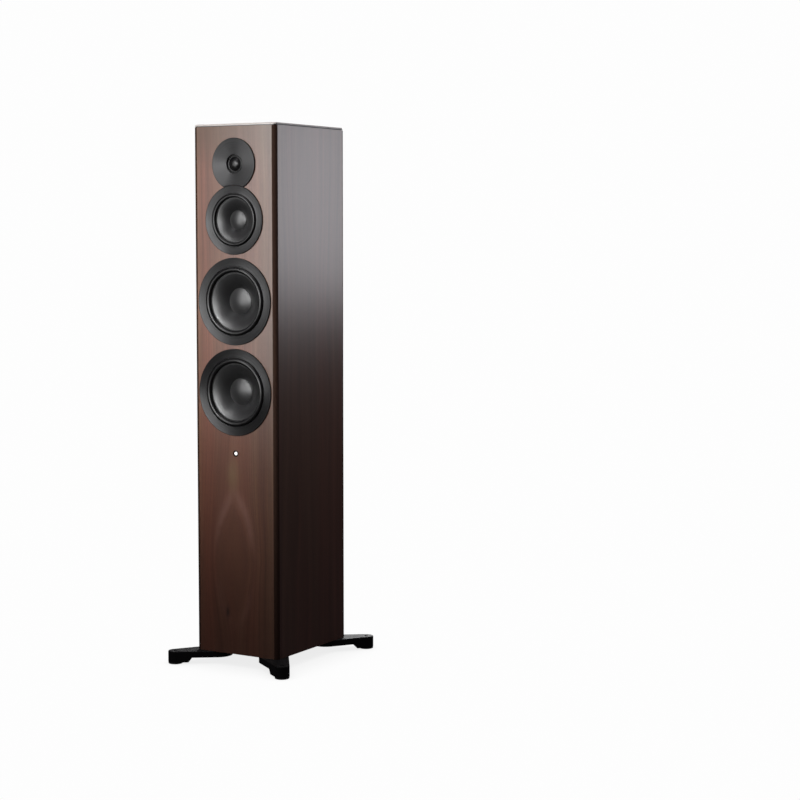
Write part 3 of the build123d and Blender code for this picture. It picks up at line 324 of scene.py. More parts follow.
def paint_figure(s, base, u, v, figure, aside, above):
    """The almond's strokes and the marks that the photograph shows round it."""
    # pale strokes along the almond, strongest over its shoulders, and a tan patch at its top
    ragged = s.board_noise(u, 2.0, v, RAGGED, detail=2.0)
    edge = s.plus(figure, s.times(s.minus(ragged, 0.5), 0.22))
    stroke = s.hill(edge, 1.0, 0.13)
    upper = s.hill(above, 0.1, 0.062)
    lower = s.times(s.hill(above, -0.095, 0.04), 0.3)
    patchy = s.span(ragged, 0.3, 0.6, 0.55, 1.0)
    glow = s.times(s.times(stroke, s.plus(upper, lower)), patchy)
    base = s.stained(base, glow, 0.6, colour(0.36, 0.18, 0.145))
    patch = s.times(s.hill(aside, -0.004, 0.014), s.hill(above, 0.185, 0.032))
    base = s.stained(base, patch, 0.55, colour(0.27, 0.18, 0.095))
    # a darker inside, a small knot, a darker lower left and a tan stripe up the left edge
    base = s.stained(base, s.span(edge, 0.55, 1.0, 1.0, 0.0), 0.3, colour(0.09, 0.038, 0.022))
    knot = s.times(s.hill(u, KNOT_X, 0.0045), s.hill(v, KNOT_Z, 0.012))
    base = s.stained(base, knot, 0.8, colour(0.014, 0.007, 0.005))
    low_left = s.times(s.hill(u, LOW_LEFT_X, 0.045), s.span(v, 0.5, 0.62, 1.0, 0.0))
    base = s.stained(base, low_left, 0.22, colour(0.07, 0.026, 0.018))
    stripe = s.times(s.hill(u, STRIPE_X, 0.0035), s.span(v, 0.2, 0.5))
    base = s.stained(base, stripe, 0.25, colour(0.30, 0.14, 0.06))
    # painted shade: darker towards the top, more on the left
    painted_top_shade = s.times(s.span(v, TOP_SHADE_LOW_Z, TOP_SHADE_HIGH_Z), s.span(u, -0.1, 0.1, 0.6, 0.42))
    return s.mix(painted_top_shade, base, colour(0.075, 0.038, 0.012))


def add_corner_shade(s, base, x, y):
    """Painted shade on the rounded upright corners: the tone, what it adds to roughness, the coat."""
    past_x = s.past(x, HALF_WIDTH - EDGE_RADIUS)
    past_y = s.past(y, HALF_DEPTH - EDGE_RADIUS)
    corner_shade = s.times(
        s.span(past_x, -0.08 * EDGE_RADIUS, 0.08 * EDGE_RADIUS),
        s.span(past_y, -0.05 * EDGE_RADIUS, 0.05 * EDGE_RADIUS),
    )
    # painted shade: dark on the rounded upright corners
    base = s.stained(base, corner_shade, 0.88, CORNER_SHADE_TONE)
    return base, s.times(corner_shade, 0.55), s.span(corner_shade, 0.0, 1.0, 1.0, 0.0)


def add_cap_edge(s, base, x, y, z):
    """The cap's pale satin edge, and black painted shade in the shadow gap under it; returns as
    add_corner_shade does.
    """
    past_x = s.past(x, HALF_WIDTH - CAP_RIM)
    past_y = s.past(y, HALF_DEPTH - CAP_RIM)
    bevel = s.span(s.math("MAXIMUM", past_x, past_y), -0.1 * MM, 0.1 * MM)
    base = s.mix(bevel, base, CAP_EDGE_TONE)
    # black painted shade in the shadow gap under the cap
    under = s.span(z, CAP_UNDER + 0.1 * MM, CAP_UNDER + 0.3 * MM, 1.0, 0.0)
    base = s.mix(under, base, grey(0.004))
    # painted shade: the cap's ends are greyer, and darker still along their lower half
    end = s.times(s.span(past_x, -0.1 * MM, 0.1 * MM), s.span(past_y, 0.0, 0.1 * MM, 1.0, 0.0))
    lower = s.span(z, CAP_UNDER + 1.2 * MM, CAP_UNDER + 1.6 * MM, 1.0, 0.0)
    painted_end_shade = s.times(end, lower)
    base = s.stained(base, end, 0.35, grey(0.2))
    base = s.mix(painted_end_shade, base, grey(0.03))
    return base, s.times(painted_end_shade, 0.3), s.span(painted_end_shade, 0.0, 1.0, 1.0, 0.4)


def walnut(name, across, seed, figured=False, cap=False, light=1.0, rough=0.31):
    """Satin lacquered walnut, with painted shade on its upright corners, or the lid's edge if cap.

    across is the axis that crosses the grain, which runs up. 2 is for the lid, where X crosses
    it and it runs along Y.
    """
    s = Surface(name, IOR=1.5, Specular_IOR_Level=0.3, Coat_IOR=1.6, Coat_Roughness=rough)
    x, y, z = s.axes()
    u, v = {0: (x, z), 1: (y, z), 2: (x, y)}[across]
    sway = s.board_noise(u, seed, v, SWAY, detail=2.0)
    drift = s.times(s.minus(sway, 0.5), SWAY_REACH)
    u_flow = s.plus(u, drift)
    grain = u_flow
    if figured:
        figure, aside, above = almond(s, u, v, drift)
        grain = parted(s, u_flow, figure)
    bands = s.board_noise(grain, seed, v, BANDS, roughness=0.55)
    stripes = s.board_noise(grain, seed, v, STRIPES)
    fibres = s.board_noise(u_flow, seed, v, FIBRES, detail=4.0)
    pores = s.board_noise(u_flow, seed, v, PORES, detail=1.0)
    broad = s.board_noise(u, seed + 3.0, v, BROAD, detail=1.0)

    # light scales the tones down; below 1 it is painted shade
    stops = [(place, tuple(part * light for part in tone)) for place, tone in WOOD_TONES]
    base = s.ramp(bands, *stops)
    warmth = s.mix(s.span(broad, 0.38, 0.62), colour(1.06, 0.96, 0.92), colour(0.96, 1.03, 0.98))
    base = s.tinted(base, warmth)
    if figured:
        side_tone = s.mix(s.span(u, -0.09, 0.08), colour(1.08, 0.97, 0.9), colour(0.89, 0.93, 0.89))
        base = s.tinted(base, side_tone)
    base = s.shaded(base, s.level(stripes, 0.83, 1.14))
    base = s.shaded(base, s.level(fibres, 0.88, 1.1))
    pore = s.span(pores, 0.60, 0.70, 1.0, 0.62)
    base = s.shaded(base, pore)
    if figured:
        base = paint_figure(s, base, u, v, figure, aside, above)
    if cap:
        base, dull, coat = add_cap_edge(s, base, x, y, z)
    else:
        base, dull, coat = add_corner_shade(s, base, x, y)
    relief = s.plus(s.times(fibres, 0.4), s.times(pore, 0.6))
    s.set(
        Base_Color=base,
        Roughness=s.plus(s.level(fibres, rough - 0.04, rough + 0.04), dull),
        Coat_Weight=coat,
        Normal=s.bump(relief, WOOD_BUMP, 0.5),
    )
    return s.material


BRUSH_MARKS = 2600.0  # per metre of radius
BRUSH_DRIFT = 9.0  # per metre along a mark


def brushed_ring(name, tone, rim, grain=1.0, rough=0.31):
    """Dark anodised metal with circular brush marks, and black painted shade on the wall round its rim, in
    mm.

    For a turned piece whose origin is on its axis.
    """
    s = Surface(name, Anisotropic=0.85, Anisotropic_Rotation=0.25, IOR=1.5)
    x, _, z = s.axes()
    radius = s.distance(x, z)
    across = s.times(radius, BRUSH_MARKS)
    marks = s.noise(s.vector(across, s.times(x, BRUSH_DRIFT), s.times(z, BRUSH_DRIFT)))
    cloud = s.even_noise(60, detail=2.0)
    base = s.mix(s.span(marks, 0.3, 0.7), grey(tone * 0.82), grey(tone * 1.15))
    base = s.stained(base, cloud, 0.25, colour(tone * 0.9, tone * 0.85, tone * 0.95))
    # black painted shade on the rim's wall and rounded edge
    wall = s.span(radius, (rim - 1.4) * MM, (rim - 1.0) * MM)
    s.set(
        Base_Color=s.mix(wall, base, grey(0.004)),
        Metallic=s.span(wall, 0.0, 1.0, 0.85, 0.0),
        Roughness=s.plus(s.level(marks, rough, rough + 0.08), s.times(wall, 0.35)),
        Tangent=s.add("Tangent", direction_type="RADIAL", axis="Y"),
        Normal=s.bump(marks, 0.00004 * grain, 0.35),
    )
    return s.material


def moulded(name, tone, rough, grain=0.00005, scale=900.0, tint=(1.0, 1.0, 1.0), **more):
    """Plastic, rubber, paint or powder coat: a fine grain, and slow drift in tone and gloss."""
    s = Surface(name, IOR=1.5, **more)
    fine = s.even_noise(scale)
    slow = s.even_noise(22, detail=2.0)
    low = colour(*(tone * 0.8 * t for t in tint))
    high = colour(*(tone * 1.25 * t for t in tint))
    s.set(
        Base_Color=s.mix(slow, low, high),
        Roughness=s.level(slow, rough - 0.03, rough + 0.04),
        Normal=s.bump(fine, grain, 0.4),
    )
    return s.material


def cone_material(name):
    """Satin graphite polymer with faint flakes and faint concentric flow lines."""
    s = Surface(name, IOR=1.55, Metallic=0.3, Coat_Weight=0.5, Coat_Roughness=0.3)
    x, _, z = s.axes()
    flakes = s.even_noise(1500, detail=1.0)
    slow = s.even_noise(35, detail=2.0)
    rings = s.noise(s.vector(s.times(s.distance(x, z), 700.0), 0.0, 0.0), detail=2.0)
    base = s.mix(s.span(flakes, 0.55, 0.72), grey(0.02), grey(0.05))
    s.set(
        Base_Color=s.stained(base, slow, 0.3, colour(0.027, 0.028, 0.03)),
        Roughness=s.level(slow, 0.36, 0.43),
        Normal=s.bump(s.plus(flakes, s.times(rings, 0.4)), 0.00003, 0.4),
    )
    return s.material


def metal(name, tone, rough, scale=(40, 900, 40), tint=(1.0, 1.0, 1.0)):
    """Bare or plated metal with a drawn or machined grain."""
    s = Surface(name, Metallic=1.0)
    grain = s.noise(s.stretched(*scale))
    slow = s.even_noise(30, detail=2.0)
    low = colour(*(tone * 0.85 * t for t in tint))
    high = colour(*(min(1.0, tone * 1.12 * t) for t in tint))
    s.set(
        Base_Color=s.mix(slow, low, high),
        Roughness=s.level(grain, rough - 0.06, rough + 0.08),
        Normal=s.bump(grain, 0.00003, 0.4),
    )
    return s.material


def cloth(name, dark, light, pitch):
    """A plain weave."""
    s = Surface(name, Roughness=0.85, Sheen_Weight=0.3, Sheen_Roughness=0.5)
    x, _, z = s.axes()
    warp = s.math("SINE", s.times(x, 2 * math.pi / pitch))
    weft = s.math("SINE", s.times(z, 2 * math.pi / pitch))
    weave = s.times(warp, weft)
    base = s.mix(s.span(weave, -0.6, 0.6), colour(*dark), colour(*light))
    s.set(
        Base_Color=s.stained(base, s.even_noise(50), 0.3, colour(*dark)),
        Normal=s.bump(weave, 0.0002, 0.5),
    )
    return s.material


def socket_finish(name):
    """Gold phono sockets with white and red insulators; black optical and network sockets."""
    s = Surface(name, IOR=1.5)
    x, y, z = s.axes()
    slow = s.even_noise(30, detail=2.0)
    fine = s.even_noise(900)
    # the four phono sockets sit at the corners of a rectangle
    across = s.past(s.minus(x, PHONO_X), PHONO_HALF_SPACING.x)
    along = s.past(s.minus(z, PHONO_Z), PHONO_HALF_SPACING.z)
    radius = s.distance(across, along)
    phono = s.span(radius, 5.9 * MM, 6.1 * MM, 1.0, 0.0)
    bore = s.span(radius, 1.75 * MM, 1.85 * MM)
    disc = s.times(bore, s.span(radius, 3.1 * MM, 3.2 * MM, 1.0, 0.0))
    insulator = s.times(disc, s.span(y, SOCKET_END - 0.3 * MM, SOCKET_END - 0.1 * MM))
    gold = s.mix(slow, colour(0.81, 0.6, 0.29), colour(1.0, 0.79, 0.38))
    channel = s.mix(s.span(z, PHONO_Z - MM, PHONO_Z + MM), colour(0.35, 0.02, 0.015), grey(0.7))
    base = s.mix(phono, s.mix(slow, grey(0.01), grey(0.018)), gold)
    plated = s.minus(phono, insulator)
    s.set(
        Base_Color=s.mix(insulator, base, channel),
        Metallic=s.math("MAXIMUM", plated, 0.0),
        Roughness=s.plus(s.span(plated, 0.0, 1.0, 0.36, 0.18), s.times(fine, 0.1)),
        Normal=s.bump(fine, 0.00003, 0.4),
    )
    return s.material


def lamp(name, strength):
    """The milky end of the light guide, lit, a little dimmer towards its rim."""
    s = Surface(name, Base_Color=grey(0.8), Roughness=0.25, Emission_Color=colour(1.0, 0.99, 0.97))
    x, _, z = s.axes()
    glow = s.span(s.distance(x, z), 2.2 * MM, LENS_RADIUS * MM, strength, strength * 0.35)
    s.set(Emission_Strength=glow)
    return s.material


WALNUT_FRONT = walnut("walnut_front", 0, 1.0, figured=True)
# the sides use a darker copy of the walnut, light=0.6: painted shade
WALNUT_SIDE = walnut("walnut_side", 1, 7.0, light=0.6, rough=0.36)
WALNUT_REAR = walnut("walnut_rear", 0, 13.0)
WALNUT_TOP = walnut("walnut_top", 2, 19.0, cap=True)
MIDRANGE_RING_METAL = brushed_ring("midrange_ring_metal", 0.055, MIDRANGE_RING[1])
WOOFER_RING_METAL = brushed_ring("woofer_ring_metal", 0.05, WOOFER_RING[1])
PLATE_METAL = brushed_ring("plate_metal", 0.056, PLATE_RADIUS, grain=0.6, rough=0.39)
CONE = cone_material("cone_polymer")
SURROUND = moulded("surround_rubber", 0.004, 0.3, grain=0.00002)
DOME = moulded("dome_fabric", 0.006, 0.3, grain=0.00003, scale=2600.0)
ARM = moulded("arm_powder_coat", 0.006, 0.55, 0.00008, 1300.0, Specular_IOR_Level=0.25)
PAD = moulded("pad_rubber", 0.035, 0.75, grain=0.0001)
BLACK_PLASTIC = moulded("black_plastic", 0.012, 0.38)
BEZEL = moulded("bezel_plastic", 0.014, 0.22, tint=(1.0, 0.75, 0.65))
BLACK_STEEL = metal("black_steel", 0.06, 0.38)
CAST = moulded("cast_alloy", 0.02, 0.5, grain=0.0002, scale=500.0)
PANEL = moulded("anodised_panel", 0.034, 0.42, grain=0.00004, scale=1800.0, Metallic=0.5)
SOCKETS = socket_finish("signal_sockets")
ZINC = metal("zinc_steel", 0.55, 0.4)
STEEL = metal("satin_steel", 0.35, 0.35)
IRON = metal("magnet_iron", 0.2, 0.5)
COPPER = metal("coil_copper", 0.85, 0.35, scale=(40, 4000, 40), tint=(1.0, 0.55, 0.35))
BOARD = moulded("circuit_board", 0.05, 0.4, tint=(0.3, 1.4, 0.6))
RAW_BOARD = moulded("raw_board", 0.3, 0.8, tint=(1.2, 0.95, 0.65), grain=0.0002)
STAINED_BOARD = moulded("stained_board", 0.015, 0.6, grain=0.0002)
FELT = cloth("damping_felt", (0.1, 0.1, 0.105), (0.2, 0.2, 0.21), 0.0025)
SPIDER = cloth("spider_cloth", (0.3, 0.2, 0.08), (0.5, 0.36, 0.16), 0.0012)
WIRE = moulded("wire_jacket", 0.03, 0.5)
LIGHT_GUIDE = lamp("light_guide", 1.1)

CAD_LOOKS = {
    "front_baffle": WALNUT_FRONT,
    "left_side_panel": WALNUT_SIDE,
    "right_side_panel": WALNUT_SIDE,
    "rear_panel": WALNUT_REAR,
    "top_panel": WALNUT_TOP,
    "bottom_panel": STAINED_BOARD,
    "cabinet_braces": RAW_BOARD,
    "midrange_chamber": RAW_BOARD,
    "damping_pads": FELT,
    "midrange_basket": CAST,
    "woofer_baskets": CAST,
    "tweeter_voice_coil": COPPER,
    "midrange_magnet_system": IRON,
    "woofer_magnet_systems": IRON,
    "tweeter_magnet_system": IRON,
    "arm_bolts": BLACK_STEEL,
    "amp_panel": PANEL,
    "heat_sink": PANEL,
    "electronics_housing": ZINC,
    "electronics_boards": BOARD,
    "mains_inlet": BLACK_PLASTIC,
    "power_rocker": BLACK_PLASTIC,
    "signal_sockets": SOCKETS,
    "placement_switch": BLACK_PLASTIC,
    "pair_button": BLACK_PLASTIC,
    "panel_screws": BLACK_STEEL,
    "wiring_harness": WIRE,
}
for unit in ("midrange", "upper_woofer", "lower_woofer"):
    CAD_LOOKS[f"{unit}_voice_coil"] = COPPER
    CAD_LOOKS[f"{unit}_spider"] = SPIDER
for corner in ("front_left", "front_right", "rear_left", "rear_right"):
    CAD_LOOKS[f"{corner}_arm"] = ARM
    CAD_LOOKS[f"{corner}_foot_pad"] = PAD
    CAD_LOOKS[f"{corner}_levelling_screw"] = STEEL


def dress(node, material):
    """Gives a CAD node that stays a better material."""
    thing = NODES[node]
    if not thing.material_slots:
        thing.data.materials.append(material)
    for slot in thing.material_slots:
        slot.material = material


for node_name, look in CAD_LOOKS.items():
    dress(node_name, look)


# ------------------------------------------------------------------ turned pieces
def arc(start, middle, end, count=24):
    """Points along the circle through three points, both ends included."""
    (ax, ay), (bx, by), (cx, cy) = start, middle, end
    a, b, c = ax**2 + ay**2, bx**2 + by**2, cx**2 + cy**2
    d = 2 * (ax * (by - cy) + bx * (cy - ay) + cx * (ay - by))
    ux = (a * (by - cy) + b * (cy - ay) + c * (ay - by)) / d
    uy = (a * (cx - bx) + b * (ax - cx) + c * (bx - ax)) / d
    radius = math.hypot(ax - ux, ay - uy)
    first, through, last = (math.atan2(y - uy, x - ux) for x, y in (start, middle, end))
    turn = (last - first) % (2 * math.pi)
    if (through - first) % (2 * math.pi) > turn:
        turn -= 2 * math.pi
    angles = [first + turn * i / count for i in range(count + 1)]
    return [(ux + radius * math.cos(angle), uy + radius * math.sin(angle)) for angle in angles]


def turned(name, centre, outline, material, segments, limit=None):
    """A closed outline turned about the axis through centre, parallel to Y.

    limit, if given, is the largest radius in mm at an angle, for a point of that radius.
    """
    mesh = bmesh.new()
    angles = [2 * math.pi * i / segments for i in range(segments)]
    rings = []
    for radius, depth in outline:
        if radius < 1e-6:
            rings.append([mesh.verts.new((0.0, depth * MM, 0.0))])
            continue
        ring = []
        for angle in angles:
            reach = (radius if limit is None else min(radius, limit(angle, radius))) * MM
            place = (reach * math.cos(angle), depth * MM, reach * math.sin(angle))
            ring.append(mesh.verts.new(place))
        rings.append(ring)
    for a, b in zip(rings, rings[1:] + rings[:1]):
        if len(a) == 1 and len(b) == 1:
            continue
        for i in range(segments):
            j = (i + 1) % segments
            corners = [a[i % len(a)], a[j % len(a)], b[j % len(b)], b[i % len(b)]]
            mesh.faces.new(list(dict.fromkeys(corners)))
    bmesh.ops.recalc_face_normals(mesh, faces=mesh.faces)
    data = bpy.data.meshes.new(name)
    mesh.to_mesh(data)
    mesh.free()
    data.materials.append(material)
    data.shade_smooth()
    data.set_sharp_from_angle(angle=SHARP_EDGE)
    piece = bpy.data.objects.new(name, data)
    bpy.context.scene.collection.objects.link(piece)
    piece.location = centre
    return piece


def settle(piece, body, replaced):
    """Puts a piece on its body and hides the CAD node it stands for."""
    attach(piece, body)
    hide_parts(replaced)


def flex(piece, replaced):
    """A roll, glued to the cabinet at its outer radius and to a diaphragm at its inner one: bakes its
    placing into its mesh and hides the CAD node it stands for.
    """
    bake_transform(piece)
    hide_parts(replaced)


def axis_of(node):
    """Where a drive unit's axis passes through the baffle's front."""
    low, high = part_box(node)
    return Vector(((low.x + high.x) / 2, FACE_Y, (low.z + high.z) / 2))


def rounded_rim(radius):
    """A rim's wall and its rounded edge, up to where its face begins."""
    wall_end = (radius, RIM_ROUNDING - RING_RISE)
    middle = (radius - RIM_MIDDLE, RIM_MIDDLE - RING_RISE)
    face_start = (radius - RIM_ROUNDING, -RING_RISE)
    return [(radius, 0.0)] + arc(wall_end, middle, face_start, 5)


def ring_outline(inner, outer):
    """A trim ring: a rounded rim, a dished face and a softly rounded inner edge."""
    face_end = (inner + RING_INNER_ROUNDING, -RING_INNER_RISE)
    face = arc((outer - RIM_ROUNDING, -RING_RISE), ((inner + outer) / 2, -RING_DISH), face_end, 28)
    inner_edge = arc(face_end, (inner + 0.35, -1.3), (inner, -0.7), 5)
    return rounded_rim(outer) + face[1:] + inner_edge[1:] + [(inner, 0.0)]


def surround_outline(inner, outer, crest):
    """A half-roll of rubber with a flat lip on the cone and another on the basket."""
    top = SEAT - RUBBER
    middle = (inner + outer) / 2
    peak = -crest - CREST_PROUD
    over = arc((inner, top), (middle, peak), (outer, top), 40)
    under = arc((outer - RUBBER, SEAT), (middle, peak + RUBBER), (inner + RUBBER, SEAT), 40)
    cone_lip = [(inner - ROLL_LIP, top + 0.3), (inner - ROLL_LIP + 0.3, top)]
    basket_lip = [(outer + BASKET_LIP, top), (outer + BASKET_LIP, SEAT)]
    return cone_lip + over + basket_lip + under + [(inner - ROLL_LIP, SEAT)]


def cone_outline(rim, dome, depth, bulge, rise):
    """A flared cone with a shallow dome in its middle, one wall thick."""
    valley = SEAT + depth
    apex = valley - rise
    flare_start, flare_end = rim - CONE_LIP, dome + DOME_SEAM
    flare = ((flare_start + flare_end) / 2, (SEAT + valley) / 2 - bulge)
    dome_edge = dome - DOME_SEAM
    half = dome_edge / 2
    ball = (dome_edge**2 + rise**2) / (2 * rise)
    dome_half = apex + ball - math.sqrt(ball**2 - half**2)
    front = [(rim, SEAT)]
    front += arc((flare_start, SEAT), flare, (flare_end, valley), 48)
    front += [(dome, valley + SEAM_DEPTH)]
    front += arc((dome_edge, valley), (half, dome_half), (0.0, apex), 32)
    back = [(r, d + CONE_WALL) for r, d in reversed(front)]
    return front + back


WOOFER = dict(
    ring=WOOFER_RING,
    roll=(62.0, 73.3),
    crest=5.4,
    dome=28.5,
    depth=19.6,
    bulge=3.0,
    rise=5.0,
    metal=WOOFER_RING_METAL,
)
UNITS = {
    "midrange": dict(
        ring=MIDRANGE_RING,
        roll=(47.5, 55.7),
        crest=4.0,
        dome=21.0,
        depth=13.0,
        bulge=2.0,
        rise=3.6,
        metal=MIDRANGE_RING_METAL,
    ),
    "upper_woofer": WOOFER,
    "lower_woofer": WOOFER,
}

for unit, size in UNITS.items():
    centre = axis_of(f"{unit}_trim_ring")
    body = f"{unit}_diaphragm"
    trim = turned(f"{unit}_ring", centre, ring_outline(*size["ring"]), size["metal"], RING_SEGMENTS)
    settle(trim, "cabinet", f"{unit}_trim_ring")
    inner, outer = size["roll"]
    roll_outline = surround_outline(inner, outer, size["crest"])
    roll = turned(f"{unit}_roll", centre, roll_outline, SURROUND, CONE_SEGMENTS)
    flex(roll, f"{unit}_surround")
    outline = cone_outline(inner, size["dome"], size["depth"], size["bulge"], size["rise"])
    diaphragm = turned(f"{unit}_diaphragm_cone", centre, outline, CONE, CONE_SEGMENTS)
    settle(diaphragm, body, f"{unit}_cone")

# ------------------------------------------------------------------ tweeter
TWEETER = axis_of("tweeter_dome")
MIDRANGE = axis_of("midrange_trim_ring")


def plate_limit(angle, radius):
    """The plate's reach at an angle, which stops at a circle just outside the midrange's ring."""
    apart = (TWEETER.z - MIDRANGE.z) / MM
    down = -math.sin(angle)
    inside = (apart * down) ** 2 - (apart**2 - CLEAR_RING**2)
    if down <= 0 or inside <= 0:
        return radius
    edge = apart * down - math.sqrt(inside)
    if radius > PLATE_RADIUS - 1.5:
        return min(radius, edge - (PLATE_RADIUS - radius))
    return min(radius, edge - 0.9)


def skin(front):
    """A thin shell's closed outline, from its front's."""
    return front + [(r, d + DOME_SKIN) for r, d in reversed(front)]


plate_rim = (PLATE_RADIUS - RIM_ROUNDING, -RING_RISE)
plate_middle = ((PLATE_RADIUS + THROAT) / 2, -PLATE_DISH)
throat_rim = (THROAT + THROAT_ROUNDING, THROAT_ROUNDING)
plate_outline = (
    rounded_rim(PLATE_RADIUS)
    + arc(plate_rim, plate_middle, throat_rim, 36)[1:]
    + arc(throat_rim, (THROAT + 0.2, 1.4), (THROAT, 2.2), 6)[1:]
    + [(THROAT, PLATE_BACK), (BOSS_RADIUS, PLATE_BACK), (BOSS_RADIUS, 0.0)]
)
plate = turned("tweeter_plate", TWEETER, plate_outline, PLATE_METAL, PLATE_SEGMENTS, plate_limit)
settle(plate, "cabinet", "tweeter_faceplate")

dome_apex = (0.0, DOME_EDGE - DOME_HEIGHT)
dome_front = arc((DOME_RADIUS, DOME_EDGE), DOME_SHOULDER, dome_apex, 32)[:-1] + [dome_apex]
dome = turned("tweeter_soft_dome", TWEETER, skin(dome_front), DOME, DOME_SEGMENTS)
settle(dome, "tweeter_diaphragm", "tweeter_dome")

inner, outer = TWEETER_ROLL
roll_over = arc((inner, DOME_EDGE), TWEETER_ROLL_CREST, (outer, DOME_EDGE), 20)
roll_under = [(r, d + DOME_SKIN) for r, d in reversed(roll_over)]
clamp = [
    (outer + 0.3, DOME_EDGE - 0.5),
    (CLAMP_RADIUS - 0.5, DOME_EDGE - 0.5),
    (CLAMP_RADIUS, DOME_EDGE),
    (CLAMP_RADIUS, PLATE_BACK),
    (outer, PLATE_BACK),
]
roll_outline = roll_over + clamp + roll_under
suspension = turned("tweeter_roll", TWEETER, roll_outline, SURROUND, DOME_SEGMENTS)
flex(suspension, "tweeter_suspension")

# ------------------------------------------------------------------ status light
LIGHT = axis_of("status_light_bezel")
bezel_outline = [
    (BEZEL_BODY, 0.0),
    (BEZEL_RADIUS, 0.0),
    (BEZEL_RADIUS, -0.2),
    (BEZEL_RADIUS - 0.2, -0.5),
    (BEZEL_RADIUS - 0.6, -0.6),
    (BEZEL_BORE + 0.7, -0.6),
    (BEZEL_BORE + 0.1, -0.1),
    (BEZEL_BORE, 0.4),
    (BEZEL_BORE, 20.0),
    (BEZEL_BODY, 20.0),
]
bezel = turned("light_bezel", LIGHT, bezel_outline, BEZEL, LIGHT_SEGMENTS)
settle(bezel, "cabinet", "status_light_bezel")
lens_face = arc((2.6, 0.26), (3.5, 0.45), (LENS_RADIUS, 1.0), 6)
lens_outline = [(0.0, 0.2)] + lens_face + [(LENS_RADIUS, 22.0), (0.0, 22.0)]
lens = turned("light_window", LIGHT, lens_outline, LIGHT_GUIDE, LIGHT_SEGMENTS)
settle(lens, "cabinet", "status_light_lens")


# ------------------------------------------------------------------ stage, lights and camera
def empty_tree(owner):
    """Turns an owner's nodes on, and clears them."""
    owner.use_nodes = True
    owner.node_tree.nodes.clear()
    return owner.node_tree


def map_range(tree, value, *limits):
    """A Map Range node: the value, its low and high, and what they map to."""
    node = tree.nodes.new("ShaderNodeMapRange")
    tree.links.new(value, node.inputs[0])
    for index, limit in enumerate(limits, start=1):
        node.inputs[index].default_value = limit
    return node


def floor():
    """A plain pale floor with a soft contact shadow."""
    bpy.ops.mesh.primitive_plane_add(size=60.0)
    ground = bpy.context.object
    ground.name = "floor"
    material = bpy.data.materials.new("floor")
    tree = empty_tree(material)
    out = tree.nodes.new("ShaderNodeOutputMaterial")
    glow = tree.nodes.new("ShaderNodeEmission")
    near = tree.nodes.new("ShaderNodeAmbientOcclusion")
    near.inputs["Distance"].default_value = 0.12
    near.samples = 8
    lift = map_range(tree, near.outputs["AO"], 0.15, 0.9, 0.82, 0.985)
    tree.links.new(lift.outputs[0], glow.inputs["Strength"])
    tree.links.new(glow.outputs[0], out.inputs["Surface"])
    ground.data.materials.append(material)
    ground.visible_diffuse = False
    ground.visible_glossy = False
    ground.visible_shadow = False


def world():
    """White to the camera, and a dim studio that is darkest underneath to the object."""
    shade = bpy.data.worlds.new("studio")
    bpy.context.scene.world = shade
    tree = empty_tree(shade)
    out = tree.nodes.new("ShaderNodeOutputWorld")
    seen = tree.nodes.new("ShaderNodeBackground")
    seen.inputs["Color"].default_value = grey(0.985)
    lit = tree.nodes.new("ShaderNodeBackground")
    lit.inputs["Color"].default_value = colour(1.03, 0.93, 1.06)
    where = tree.nodes.new("ShaderNodeTexCoord")
    split = tree.nodes.new("ShaderNodeSeparateXYZ")
    rise = map_range(tree, split.outputs[2], -0.15, 0.7, 0.02, 0.15)
    rise.interpolation_type = "SMOOTHSTEP"
    path = tree.nodes.new("ShaderNodeLightPath")
    pick = tree.nodes.new("ShaderNodeMixShader")
    tree.links.new(where.outputs["Generated"], split.inputs[0])
    tree.links.new(rise.outputs[0], lit.inputs["Strength"])
    tree.links.new(path.outputs["Is Camera Ray"], pick.inputs[0])
    tree.links.new(lit.outputs[0], pick.inputs[1])
    tree.links.new(seen.outputs[0], pick.inputs[2])
    tree.links.new(pick.outputs[0], out.inputs["Surface"])


def look_along(thing, direction):
    thing.rotation_mode = "QUATERNION"
    thing.rotation_quaternion = Vector(direction).to_track_quat("-Z", "Y")


def softbox(name, place, aim, size, radiance, spread, tint=(1.0, 1.0, 1.0)):
    """A rectangular light of a width and height. radiance is what a mirror square to it would show."""
    half = math.radians(spread) / 2
    focus = math.tan(half) / (math.tan(half) - half)
    data = bpy.data.lights.new(name, "AREA")
    data.shape = "RECTANGLE"
    data.size, data.size_y = size
    data.energy = radiance * math.pi * size[0] * size[1] / focus
    data.spread = math.radians(spread)
    data.color = tint
    light = bpy.data.objects.new(name, data)
    bpy.context.scene.collection.objects.link(light)
    light.location = place
    look_along(light, Vector(aim) - Vector(place))
    light.visible_camera = False


ACCENT_OFFSET = Vector((-0.198, -1.124, 0.371))
ACCENT_AIM = Vector((-0.035, 0.0, -0.035))


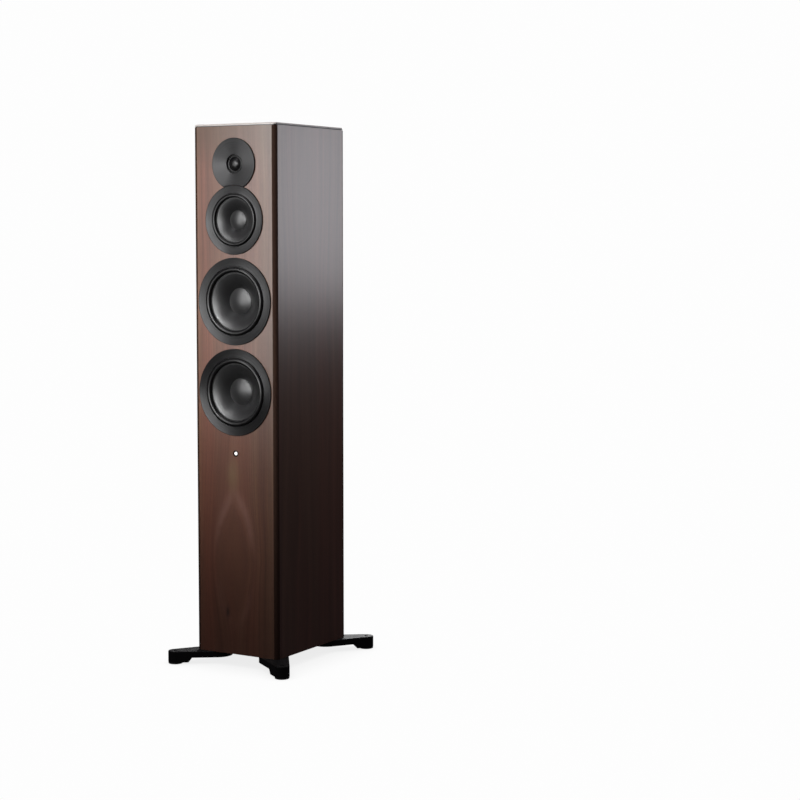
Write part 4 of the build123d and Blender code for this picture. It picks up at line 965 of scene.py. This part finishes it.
def lights():
    """Broad soft lights, and a small one for the highlight at the lower left of each woofer's cone."""
    softbox("front_key", (0.08, -1.3, 1.06), (0.03, -0.135, 0.93), (0.8, 1.1), radiance=13.6, spread=36.0)
    softbox("front_strip", (-0.38, -1.12, 1.38), (0.0, -0.135, 0.8), (0.26, 0.55), radiance=7.2, spread=90.0)
    for unit in ("upper_woofer", "lower_woofer"):
        centre = axis_of(f"{unit}_trim_ring")
        place, aim = centre + ACCENT_OFFSET, centre + ACCENT_AIM
        softbox(f"{unit}_accent", place, aim, (0.08, 0.08), radiance=240.0, spread=8.8)
    softbox("front_sheen", (-0.55, -1.45, 1.02), (0.05, -0.135, 1.0), (0.5, 1.0), radiance=6.6, spread=64.0)
    softbox(
        "side_sheen",
        (0.72, 0.88, 1.06),
        (0.1, 0.0, 1.0),
        (0.4, 0.62),
        radiance=3.9,
        spread=110.0,
        tint=(0.96, 0.95, 1.0),
    )
    softbox("overhead", (0.1, -0.15, 2.3), (0.0, 0.0, 1.2), (1.1, 1.1), radiance=2.2, spread=120.0)
    softbox("back_fill", (-0.75, 2.1, 0.9), (0.0, 0.0, 0.5), (1.0, 1.6), radiance=6.0, spread=90.0)


def camera():
    data = bpy.data.cameras.new("camera")
    data.sensor_width = SENSOR_WIDTH
    data.lens = CAMERA_FOCAL_PIXELS / FRAME_PIXELS * SENSOR_WIDTH
    data.shift_y = CAMERA_SHIFT_Y
    view = bpy.data.objects.new("camera", data)
    bpy.context.scene.collection.objects.link(view)
    azimuth = math.radians(CAMERA_AZIMUTH)
    heading = math.radians(CAMERA_AZIMUTH + CAMERA_YAW)
    pitch = math.radians(CAMERA_PITCH)
    view.location = (
        CAMERA_DISTANCE * math.sin(azimuth),
        -CAMERA_DISTANCE * math.cos(azimuth),
        CAMERA_HEIGHT,
    )
    ahead = (
        -math.sin(heading) * math.cos(pitch),
        math.cos(heading) * math.cos(pitch),
        -math.sin(pitch),
    )
    look_along(view, ahead)
    bpy.context.scene.camera = view


floor()
world()
lights()
camera()
bpy.context.scene.view_settings.view_transform = "Standard"
bpy.context.scene.view_settings.look = "None"
